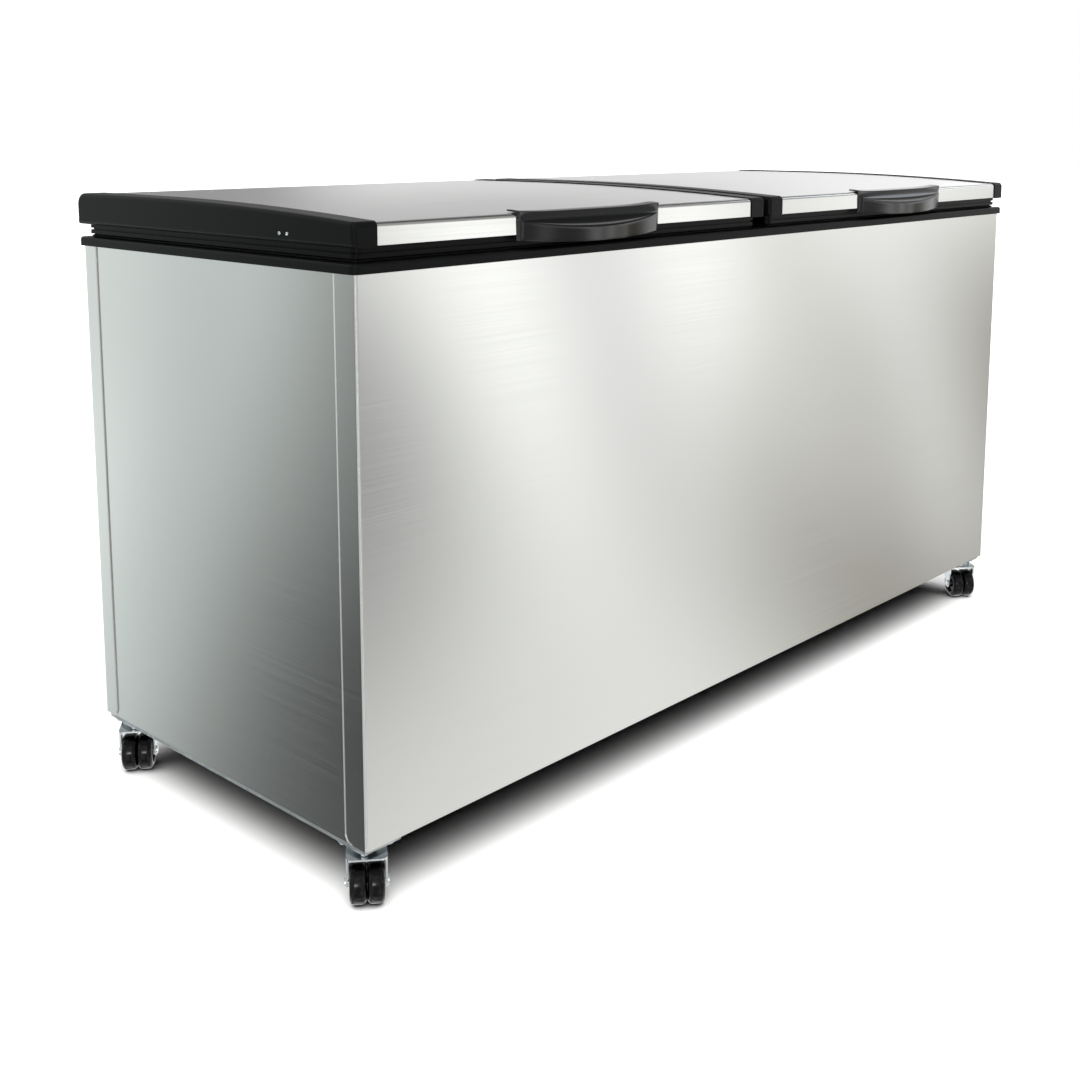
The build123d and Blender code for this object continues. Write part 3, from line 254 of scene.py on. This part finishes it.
# Power lamp and knob: a green tinted polycarbonate lens pressed into the grille, and a knob moulded in
# the grille's black.
lens, *_ = finish_named(
    "green_polycarbonate", {"Base Color": linear("#1FA35A"), "Roughness": 0.12, "IOR": 1.58}
)
dress(lens, "power_lamp")
dress(black_abs, "thermostat_knob")


# Dial: white marks printed in the knob's cup, longer and wider towards cold, from the pointer at rest round
# to the end of its turn. The pointer is a white line filled into the top of the knob's grip.
MARK_COUNT, MARK_SWEEP, MARK_RADIUS, MARK_FILM = 7, radians(270), 0.0272, 0.0003
MARK_SHORT, MARK_LONG, MARK_THIN, MARK_FLARE = 0.0026, 0.0056, 0.0009, 1.7
POINTER_LENGTH, POINTER_WIDTH, POINTER_TAPER, POINTER_EDGE = 0.011, 0.0018, 0.6, 0.0022
CUP_FLOOR = 0.900
print_white, *_ = finish_named("white_printing_ink", {"Base Color": linear("#E8E8E4"), "Roughness": 0.55})
low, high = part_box("thermostat_knob")
dial_y, dial_z = (low.y + high.y) / 2, (low.z + high.z) / 2


def printed_bar(length, width, end_share):
    """A thin bar of ink standing on the origin, with its upper end wider or narrower."""
    bpy.ops.mesh.primitive_cube_add(size=1, location=(0, 0, length / 2))
    bpy.context.object.scale = (MARK_FILM, width, length)
    bpy.ops.object.transform_apply(location=True, scale=True)
    bpy.ops.object.mode_set(mode="EDIT")
    bpy.ops.mesh.select_mode(type="VERT")
    bpy.ops.mesh.select_all(action="DESELECT")
    mesh = bmesh.from_edit_mesh(bpy.context.object.data)
    for vertex in mesh.verts:
        vertex.select = vertex.co.z > length / 2
    mesh.select_flush(True)
    bpy.ops.transform.resize(value=(1, end_share, 1), center_override=(0, 0, length))
    bpy.ops.object.mode_set(mode="OBJECT")
    return bpy.context.object


marks = []
for count in range(MARK_COUNT):
    share = count / (MARK_COUNT - 1)
    mark = printed_bar(MARK_SHORT + (MARK_LONG - MARK_SHORT) * share, MARK_THIN * (1 + share), MARK_FLARE)
    turn = MARK_SWEEP * share
    spot_y, spot_z = dial_y - MARK_RADIUS * sin(turn), dial_z + MARK_RADIUS * cos(turn)
    mark.location = (CUP_FLOOR + MARK_FILM / 2, spot_y, spot_z)
    mark.rotation_euler.x = turn
    marks.append(mark)
for mark in marks:
    mark.select_set(True)
bpy.ops.object.join()
settle("dial_marks", print_white, "cabinet", "white_plastic")
pointer = printed_bar(POINTER_LENGTH, POINTER_WIDTH, POINTER_TAPER)
pointer.location = (high.x, dial_y, high.z - POINTER_EDGE - POINTER_LENGTH)
settle("knob_pointer", print_white, "thermostat_knob", "white_plastic")


# Lid skins: the same satin stainless, with the grain running along the lid. Each is one sheet, folded
# down front and back.
lid_grain = (GRAIN_LENGTH, GRAIN_WIDTH, GRAIN_WIDTH)
lid_steel = satin_stainless("satin_stainless_lid", lid_grain, "X", 0)
dress(lid_steel, "left_lid_skin", "right_lid_skin")


# Lid linings: white high-impact polystyrene, vacuum formed into a tray with a raised field, so that its
# edges are soft and its corners round. It fits into the opening of the lid's frame.
LINING_SHEET, LINING_CORNER, CORNER_STEPS = 0.0018, 0.01, 5
LINING_EDGE, LINING_FOLD, EDGE_STEPS = 0.0016, radians(25), 3
LINING = ((0, 0), (0.040, 0), (0.046, -0.006), (0.091, -0.006), (0.096, -0.0025))
white_plastic, *_ = finish_named(
    "vacuum_formed_white_polystyrene", {"Base Color": linear("#E4E7E5"), "Roughness": 0.35}
)


def lid_plate(low, high, z):
    """A flat rectangle over a lid node's plan, in edit mode with everything selected."""
    bpy.ops.mesh.primitive_plane_add(size=1, location=((low.x + high.x) / 2, (low.y + high.y) / 2, z))
    plate = bpy.context.object
    plate.scale = (high.x - low.x, high.y - low.y, 1)
    bpy.ops.object.transform_apply(location=True, scale=True)
    bpy.ops.object.mode_set(mode="EDIT")
    bpy.ops.mesh.select_all(action="SELECT")
    return plate


def step_rings(low, high, rings):
    """Keeps a plate's outline and extrudes it from ring to ring, each set in evenly and at its height."""
    middle, size = (low + high) / 2, high - low
    bpy.ops.mesh.delete(type="ONLY_FACE")
    bpy.ops.mesh.select_all(action="SELECT")
    for (inset, rise), (next_inset, next_rise) in zip(rings, rings[1:]):
        bpy.ops.mesh.extrude_edges_move(TRANSFORM_OT_translate={"value": (0, 0, next_rise - rise)})
        shrink = [(length - 2 * next_inset) / (length - 2 * inset) for length in (size.x, size.y)]
        bpy.ops.transform.resize(value=(*shrink, 1), center_override=middle)


def thicken(sheet, wall, side, edge, fold):
    """Gives a moulded sheet its wall, on one side, and rounds the edges that turn more than the fold."""
    solid = sheet.modifiers.new("wall", "SOLIDIFY")
    solid.thickness, solid.offset = wall, side
    rounding = sheet.modifiers.new("rounding", "BEVEL")
    rounding.width, rounding.segments = edge, EDGE_STEPS
    rounding.limit_method, rounding.angle_limit = "ANGLE", fold
    for modifier in ("wall", "rounding"):
        bpy.ops.object.modifier_apply(modifier=modifier)


for side in ("left", "right"):
    low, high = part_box(f"{side}_lid_inner_panel")
    lining = lid_plate(low, high, low.z - min(rise for _, rise in LINING))
    bpy.ops.mesh.bevel(offset=LINING_CORNER, segments=CORNER_STEPS, affect="VERTICES")
    bpy.ops.mesh.select_all(action="SELECT")
    step_rings(low, high, LINING)
    bpy.ops.mesh.edge_face_add()
    weld()
    bpy.ops.object.mode_set(mode="OBJECT")
    thicken(lining, LINING_SHEET, 1, LINING_EDGE, LINING_FOLD)
    settle(f"{side}_lid_lining", white_plastic, f"{side}_lid", "white_plastic", f"{side}_lid_inner_panel")
    lining.modifiers.new("flat_fields", "WEIGHTED_NORMAL").keep_sharp = True
    bpy.ops.object.modifier_apply(modifier="flat_fields")


# Lid seals: soft black bellows with a magnet strip inside, extruded in lengths and welded at mitred
# corners. A seal is pressed into the lid's frame and rests on the rim.
SEAL = (
    (0, 0), (0.003, -0.0011), (0.0006, -0.0024), (0, -0.0040), (0.0009, -0.0047), (0.0151, -0.0047),
    (0.016, -0.0040), (0.0154, -0.0024), (0.013, -0.0011), (0.016, 0),
)
for side in ("left", "right"):
    low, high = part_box(f"{side}_lid_gasket")
    lid_plate(low, high, high.z)
    step_rings(low, high, SEAL)
    bpy.ops.mesh.select_all(action="DESELECT")
    bpy.ops.mesh.select_mode(type="EDGE")
    bpy.ops.mesh.select_non_manifold()
    bpy.ops.mesh.bridge_edge_loops()
    weld()
    settle(f"{side}_lid_seal", rubber, f"{side}_lid", "seal_rubber", f"{side}_lid_gasket")


# Handles: one on the front edge of each lid, injection moulded in glossy black ABS. A thin flange clips
# over the lid's edge, the face is scooped, and the lip bows out with room for the fingers behind it.
HANDLE_WALL, HANDLE_FLANGE, HANDLE_END = 0.0026, 0.020, 0.0025
HANDLE_STATIONS, FLANGE_STEPS, SCOOP_STEPS, LIP_STEPS = 60, 6, 14, 6
NOSE_OUT, NOSE_DROP, NOSE_DIP, FLANGE_LIFT = 0.0015, 0.0125, 0.003, 0.0018
BULGE, END_BULGE, WALL_BULGE = 0.028, 0.004, 0.0008
CREASE_RISE, CREASE_BOW, FOOT_BOW, LIP_LEAN = 0.021, 0.013, 0.006, 0.001
SCOOP_IN, SCOOP_UP = 0.22, 0.16
HANDLE_EDGE, HANDLE_FOLD = 0.0012, radians(35)


def gloss_black_handle(side):
    """A sheet shaped station by station along the lid, then given its wall and rounded edges."""
    low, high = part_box(f"{side}_lid_handle")
    skin_low, skin_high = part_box(f"{side}_lid_skin")
    face, middle, half = skin_low.y, (low.x + high.x) / 2, (high.x - low.x) / 2
    rows = FLANGE_STEPS + SCOOP_STEPS + LIP_STEPS
    bpy.ops.mesh.primitive_grid_add(x_subdivisions=HANDLE_STATIONS, y_subdivisions=rows, size=2)
    sheet = bpy.context.object
    for vertex in sheet.data.vertices:
        along, row = vertex.co.x, round((1 - vertex.co.y) / 2 * rows)
        bow = along ** 2
        nose = Vector((face - NOSE_OUT, skin_high.z - NOSE_DROP - NOSE_DIP * (1 - bow ** 2)))
        bulge = WALL_BULGE if abs(along) > 1 - MERGE else BULGE - (BULGE - END_BULGE) * bow
        crease = Vector((face - bulge, low.z + CREASE_RISE - LIP_LEAN + CREASE_BOW * bow))
        foot = Vector((face - bulge + LIP_LEAN, low.z + FOOT_BOW * bow))
        if row <= FLANGE_STEPS:
            share = 1 - row / FLANGE_STEPS
            point = nose + share * Vector((HANDLE_FLANGE, 0)) + Vector((0, FLANGE_LIFT * share * (2 - share)))
        elif row <= FLANGE_STEPS + SCOOP_STEPS:
            share = (row - FLANGE_STEPS) / SCOOP_STEPS
            pull = Vector((face - SCOOP_IN * bulge, crease.y + SCOOP_UP * (nose.y - crease.y)))
            point = (1 - share) ** 2 * nose + 2 * share * (1 - share) * pull + share ** 2 * crease
        else:
            share = (row - FLANGE_STEPS - SCOOP_STEPS) / LIP_STEPS
            point = crease.lerp(foot, share)
        reach = half if abs(along) > 1 - MERGE else (half - HANDLE_END) * abs(along)
        vertex.co = (middle + (reach if along > 0 else -reach), point.x, point.y)
    thicken(sheet, HANDLE_WALL, -1, HANDLE_EDGE, HANDLE_FOLD)
    return settle(
        f"{side}_pull_handle", gloss_black, f"{side}_lid", "gloss_black_plastic", f"{side}_lid_handle"
    )


gloss_black = moulded_black(
    "gloss_black_abs", "#070808", "#0C0D0C", roughness=0.13, shine=0.45, grain=0.02, depth=0.0001
)
for side in ("left", "right"):
    gloss_black_handle(side)


# Hinges, castor plates, forks and axles: pressed steel, zinc plated after forming. The zinc is bright,
# slightly blue and a little cloudy.
ZINC_MOTTLE = 0.008
bright_zinc = {"Metallic": 1, "Roughness": 0.26}
zinc = mottled("zinc_plated_steel", bright_zinc, ZINC_MOTTLE, "#C9CFD2", "#E9EDEE", Detail=3)
dress(zinc, "hinge_bases", "hinge_pins", "castor_plates", "left_lid_hinge_leaves", "right_lid_hinge_leaves")
CASTORS = ("front_left", "front_right", "rear_left", "rear_right")
for castor in CASTORS:
    dress(zinc, f"castor_fork_{castor}", f"castor_axle_{castor}")


# Screws: zinc-plated pan heads with a cross recess, rolled and plated. Each was driven home at its own
# angle, on the end caps, the hinges and the grille.
HEAD_RADIUS, HEAD_HEIGHT, HEAD_FACETS, HEAD_ROUND, ROUND_STEPS = 0.004, 0.0015, 28, 0.0009, 4
RECESS_LENGTH, RECESS_WIDTH, RECESS_DEPTH = 0.0046, 0.0010, 0.0010
HEAD_TURN = 2.4
SCREW_BODIES = {"left_lid_screws": "left_lid", "right_lid_screws": "right_lid", "panel_screws": "cabinet"}
bpy.ops.mesh.primitive_cylinder_add(vertices=HEAD_FACETS, radius=HEAD_RADIUS, depth=HEAD_HEIGHT)
head = bpy.context.object
bpy.ops.object.mode_set(mode="EDIT")
bpy.ops.mesh.select_mode(type="VERT")
bpy.ops.mesh.select_all(action="DESELECT")
mesh = bmesh.from_edit_mesh(head.data)
for vertex in mesh.verts:
    vertex.select = vertex.co.z > 0
mesh.select_flush(True)
bpy.ops.mesh.select_mode(type="FACE")
bpy.ops.mesh.region_to_loop()
bpy.ops.mesh.bevel(offset=HEAD_ROUND, segments=ROUND_STEPS)
bpy.ops.object.mode_set(mode="OBJECT")
for length, width in ((RECESS_LENGTH, RECESS_WIDTH), (RECESS_WIDTH, RECESS_LENGTH)):
    bpy.ops.mesh.primitive_cube_add(size=1, location=(0, 0, HEAD_HEIGHT / 2))
    cutter = bpy.context.object
    cutter.scale = (length, width, 2 * RECESS_DEPTH)
    recess = head.modifiers.new("recess", "BOOLEAN")
    recess.operation, recess.object = "DIFFERENCE", cutter
    bpy.context.view_layer.objects.active = head
    bpy.ops.object.modifier_apply(modifier="recess")
    bpy.data.objects.remove(cutter)


def loose_boxes(name):
    """Low and high corners of each separate solid in a CAD node."""
    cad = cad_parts[name]
    solids, seen = bmesh.new(), set()
    solids.from_mesh(cad.data)
    bmesh.ops.remove_doubles(solids, verts=solids.verts, dist=MERGE)
    boxes = []
    for start in solids.verts:
        if start in seen:
            continue
        island, queue = [], [start]
        seen.add(start)
        while queue:
            vertex = queue.pop()
            island.append(cad.matrix_world @ vertex.co)
            for link in vertex.link_edges:
                other = link.other_vert(vertex)
                if other not in seen:
                    seen.add(other)
                    queue.append(other)
        boxes.append([Vector(pick(co[axis] for co in island) for axis in range(3)) for pick in (min, max)])
    solids.free()
    return boxes


for name, body in SCREW_BODIES.items():
    heads = []
    for count, (low, high) in enumerate(loose_boxes(name)):
        span, middle = high - low, (low + high) / 2
        axis = min(range(3), key=lambda index: span[index])
        outward = Vector((0, 0, 0))
        outward[axis] = 1 if middle[axis] > 0 else -1
        bpy.ops.object.select_all(action="DESELECT")
        head.select_set(True)
        bpy.context.view_layer.objects.active = head
        bpy.ops.object.duplicate()
        driven = bpy.context.object
        driven.location = middle
        wide = max(span) / (2 * HEAD_RADIUS)
        driven.scale = (wide, wide, 1)
        spun = Matrix.Rotation(count * HEAD_TURN, 3, "Z").to_quaternion()
        driven.rotation_euler = (outward.to_track_quat("Z", "Y") @ spun).to_euler()
        heads.append(driven)
    for driven in heads:
        driven.select_set(True)
    bpy.ops.object.join()
    settle(f"cross_recess_{name}", zinc, body, "zinc_plated_steel", name)
bpy.data.objects.remove(head)


# Castor wheels: twin wheels injection moulded in black nylon, with a round-shouldered tread, a dished
# face on both sides and a plain hub that turns on the axle.
WHEEL_RADIUS, WHEEL_WIDTH, WHEEL_GAP, WHEEL_BORE = 0.030, 0.0244, 0.0002, 0.0042
SHOULDER, SHOULDER_STEPS, WHEEL_STEPS = 0.0075, 6, 48
HUB_RADIUS, WEB_INNER, WEB_OUTER, WEB_DEPTH, WHEEL_RIM = 0.008, 0.0095, 0.0185, 0.005, 0.0205
AXLE_TURN = radians(-39)
nylon = moulded_black(
    "black_nylon", "#020203", "#040405", roughness=0.16, shine=0.22, grain=0.002, depth=0.0001
)
shoulders = []
for centre, start in ((WHEEL_WIDTH - SHOULDER, 0), (SHOULDER, pi / 2)):
    for step in range(SHOULDER_STEPS + 1):
        turn = start + step / SHOULDER_STEPS * pi / 2
        shoulders.append((centre + SHOULDER * cos(turn), WHEEL_RADIUS - SHOULDER + SHOULDER * sin(turn)))
profile = [
    (0, WHEEL_BORE),
    (WHEEL_WIDTH, WHEEL_BORE),
    (WHEEL_WIDTH, HUB_RADIUS),
    (WHEEL_WIDTH - WEB_DEPTH, WEB_INNER),
    (WHEEL_WIDTH - WEB_DEPTH, WEB_OUTER),
    (WHEEL_WIDTH, WHEEL_RIM),
    *shoulders,
    (0, WHEEL_RIM),
    (WEB_DEPTH, WEB_OUTER),
    (WEB_DEPTH, WEB_INNER),
    (0, HUB_RADIUS),
]
bpy.ops.mesh.primitive_circle_add(vertices=len(profile), radius=WHEEL_RADIUS)
pair = bpy.context.object
for vertex, (along, out) in zip(pair.data.vertices, profile):
    vertex.co = (WHEEL_GAP / 2 + along, out, 0)
bpy.ops.object.mode_set(mode="EDIT")
bpy.ops.mesh.select_all(action="SELECT")
bpy.ops.mesh.spin(steps=WHEEL_STEPS, angle=2 * pi, center=(0, 0, 0), axis=(1, 0, 0))
weld()
bpy.ops.mesh.duplicate_move(TRANSFORM_OT_translate={"value": (-WHEEL_WIDTH - WHEEL_GAP, 0, 0)})
bpy.ops.object.mode_set(mode="OBJECT")
for castor in CASTORS:
    low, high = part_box(f"castor_wheels_{castor}")
    bpy.ops.object.select_all(action="DESELECT")
    pair.select_set(True)
    bpy.context.view_layer.objects.active = pair
    bpy.ops.object.duplicate()
    bpy.context.object.location = (low + high) / 2
    bpy.context.object.rotation_euler.z = AXLE_TURN
    settle(f"twin_wheels_{castor}", nylon, f"wheels_{castor}", "black_nylon", f"castor_wheels_{castor}")
bpy.data.objects.remove(pair)


# Camera: it stands to the left of the front, a little above the lids, and is shifted down to frame
# the whole cabinet while the uprights lean only a little.
CAMERA_PLACE = (-2.0186, -1.6999, 1.053)
CAMERA_TILT, CAMERA_TURN = 81.596, -46.732
CAMERA_LENS, CAMERA_SENSOR, CAMERA_SHIFT = 46.09, 36, -0.19
lens_data = bpy.data.cameras.new("camera")
lens_data.lens, lens_data.sensor_width, lens_data.shift_y = CAMERA_LENS, CAMERA_SENSOR, CAMERA_SHIFT
camera = bpy.data.objects.new("camera", lens_data)
camera.location = CAMERA_PLACE
camera.rotation_euler = (radians(CAMERA_TILT), 0, radians(CAMERA_TURN))
bpy.context.scene.collection.objects.link(camera)
bpy.context.scene.camera = camera


# Studio: a pale floor, and a light tent whose soft cards show as broad bands in the steel. The floor
# is kept out of mirror-like reflections, as on a cut-out studio picture.
bpy.context.scene.view_settings.view_transform = "Standard"
FLOOR_HALF = 30
bpy.ops.mesh.primitive_plane_add(size=2 * FLOOR_HALF)
floor = bpy.context.object
floor.name = "studio_floor"
floor.visible_glossy = False
paper, *_ = finish_named(
    "white_paper_floor", {"Base Color": linear("#F6F6F5"), "Roughness": 0.9, "Specular IOR Level": 0}
)
floor.data.materials.append(paper)

# The tent lights the floor and the plastics from above, most from the camera's side, and is dim near
# the floor, so that the floor under the cabinet stays dark.
SKY_AXIS, SKY_EDGE, SKY_STRENGTH = (-0.40, -0.36, 0.843), 0.3, 5.6
DIM_BELOW, CLEAR_ABOVE = 0.5, 0.8
world = bpy.data.worlds.new("light_tent")
bpy.context.scene.world = world
world.use_nodes = True
tree = world.node_tree
direction = node(tree, "TexCoord").outputs["Generated"]
height = node(tree, "SeparateXYZ", {"Vector": direction}).outputs["Z"]
leaning = node(tree, "VectorMath", {0: direction, 1: SKY_AXIS}, operation="DOT_PRODUCT").outputs["Value"]
sky = node(tree, "MapRange", {"Value": leaning, "From Min": SKY_EDGE, "To Max": SKY_STRENGTH})
clear = node(tree, "MapRange", {"Value": height, "From Min": DIM_BELOW, "From Max": CLEAR_ABOVE})
daylight = node(tree, "Math", {0: sky.outputs["Result"], 1: clear.outputs["Result"]}, operation="MULTIPLY")

# What the steel mirrors: soft upright bands all round the tent, and the cards and strips that stand
# round the camera's view. Each card: azimuth anticlockwise from +X, elevation, outer and inner radius in
# degrees, strength, tint. A strip is a card seen only within a half width of an upright plane, which
# leans by some degrees.
CARDS = (
    (-36, -12, 32, 16, 1.2, "#FFFFFC"),
    (-38, -1, 19, 4, 2.15, "#FFFFFE"),
    (-24, -14, 15, 4, 0.25, "#FFF3DA"),
    (-57, -14, 14, 4, 0.3, "#FFFFFF"),
    (120.2, -12, 30, 16, 1.1, "#F7FDFB"),
    (110.2, -20, 14, 3, 1.65, "#F7FDFB"),
    (139, -27, 25, 6, 0.02, "#F2FFFF"),
    (140.2, -6, 17, 5, 0.13, "#F5FDFB"),
    (40, 4, 36, 18, 0.9, "#FFFFFF"),
    (26, 4, 16, 4, 1.15, "#FFFFFF"),
    (66, 3, 22, 6, 0.25, "#FFFFFF"),
    (43, 3, 12, 5, 1.12, "#FFFFFF"),
    (44, 24, 21, 11, 0.5, "#FFFFFF"),
    (-44, 23, 25, 18, 0.45, "#FFFFFF"),
    (-6, 44, 25, 14, 0.1, "#FFFFFF"),
    (-14, 26, 8, 3, 2.4, "#F4FAFF"),
    (21, 2, 7, 3, 2.2, "#FFFFFF"),
    (222, 16, 21, 5, 1.3, "#FFFFFF"),
    (224, 9, 7, 3, 16.0, "#FFFFFF"),
    (0, 90, 52, 30, 0.1, "#FFFFFF"),
)
STRIPS = (
    (-42, -8, 16, 6, 2.2, 12, 1.0, "#FFFFFF"),
    (-34.5, -6, 14, 5, 1.6, 14, 1.0, "#FFFDF8"),
    (-30, -8, 14, 5, 1.4, 14, 1.45, "#FFFFFF"),
    (123.8, -12, 16, 6, 1.5, -10, 0.8, "#EEFAFA"),
    (36, -18, 14, 6, 3.0, 10, 1.3, "#FFFFFF"),
    (56, -20, 15, 6, 3.0, 10, 0.55, "#FFFFFF"),
)


def within(direction, azimuth, elevation, outer, inner):
    """How far a direction lies inside a soft-edged round card, from 0 to 1."""
    a, e = radians(azimuth), radians(elevation)
    centre = (cos(a) * cos(e), sin(a) * cos(e), sin(e))
    near = node(tree, "VectorMath", {0: direction, 1: centre}, operation="DOT_PRODUCT")
    edges = {"From Min": cos(radians(outer)), "From Max": cos(radians(inner))}
    share = node(tree, "MapRange", {"Value": near.outputs["Value"], **edges}, interpolation_type="SMOOTHSTEP")
    return share.outputs["Result"]


def pinned(glow, share, strength, tint):
    """The glow so far, with one more card pinned over it."""
    shade = tuple(strength * channel for channel in linear(tint)[:3]) + (1,)
    return node(tree, "Mix", {"Factor": share, "A": glow, "B": shade}, data_type="RGBA").outputs["Result"]


FOLD_STRETCH, FOLD_SCALE = (1.7, 1.7, 0.6), 1.9
FOLD_SPAN = {"From Min": 0.36, "From Max": 0.64, "To Min": 0.4, "To Max": 1.35}
stretched = node(tree, "Mapping", {"Vector": direction, "Scale": FOLD_STRETCH})
folds = node(tree, "TexNoise", {"Vector": stretched.outputs["Vector"], "Scale": FOLD_SCALE, "Detail": 1})
bands = node(tree, "MapRange", {"Value": folds.outputs["Fac"], **FOLD_SPAN}, interpolation_type="SMOOTHSTEP")
glow = bands.outputs["Result"]
for azimuth, elevation, outer, inner, strength, tint in CARDS:
    glow = pinned(glow, within(direction, azimuth, elevation, outer, inner), strength, tint)
for azimuth, elevation, outer, inner, half_width, leaning_by, strength, tint in STRIPS:
    a, slant = radians(azimuth), radians(leaning_by)
    across = (-sin(a) * cos(slant), cos(a) * cos(slant), sin(slant))
    off = node(tree, "VectorMath", {0: direction, 1: across}, operation="DOT_PRODUCT")
    away = node(tree, "Math", {0: off.outputs["Value"]}, operation="ABSOLUTE")
    edges = {"From Min": sin(radians(2 * half_width)), "From Max": 0}
    strip = node(tree, "MapRange", {"Value": away.outputs["Value"], **edges}, interpolation_type="SMOOTHSTEP")
    card = within(direction, azimuth, elevation, outer, inner)
    both = node(tree, "Math", {0: strip.outputs["Result"], 1: card}, operation="MULTIPLY")
    glow = pinned(glow, both.outputs["Value"], strength, tint)

# The cards are mirrored only by what the camera sees directly, the rest is lit by the daylight, and the
# background itself is white.
HALF_BOUNCE = 0.5
ray = node(tree, "LightPath").outputs
first = node(tree, "Math", {0: ray["Diffuse Depth"], 1: HALF_BOUNCE}, operation="LESS_THAN").outputs["Value"]
direct = node(tree, "Math", {0: ray["Is Glossy Ray"], 1: first}, operation="MULTIPLY").outputs["Value"]
light = {"Factor": direct, "A": daylight.outputs["Value"], "B": glow}
mirrored = node(tree, "Mix", light, data_type="RGBA").outputs["Result"]
shown = {"Factor": ray["Is Camera Ray"], "A": mirrored, "B": linear("#FFFFFF")}
seen = node(tree, "Mix", shown, data_type="RGBA").outputs["Result"]
tree.links.new(seen, tree.nodes["Background"].inputs["Color"])
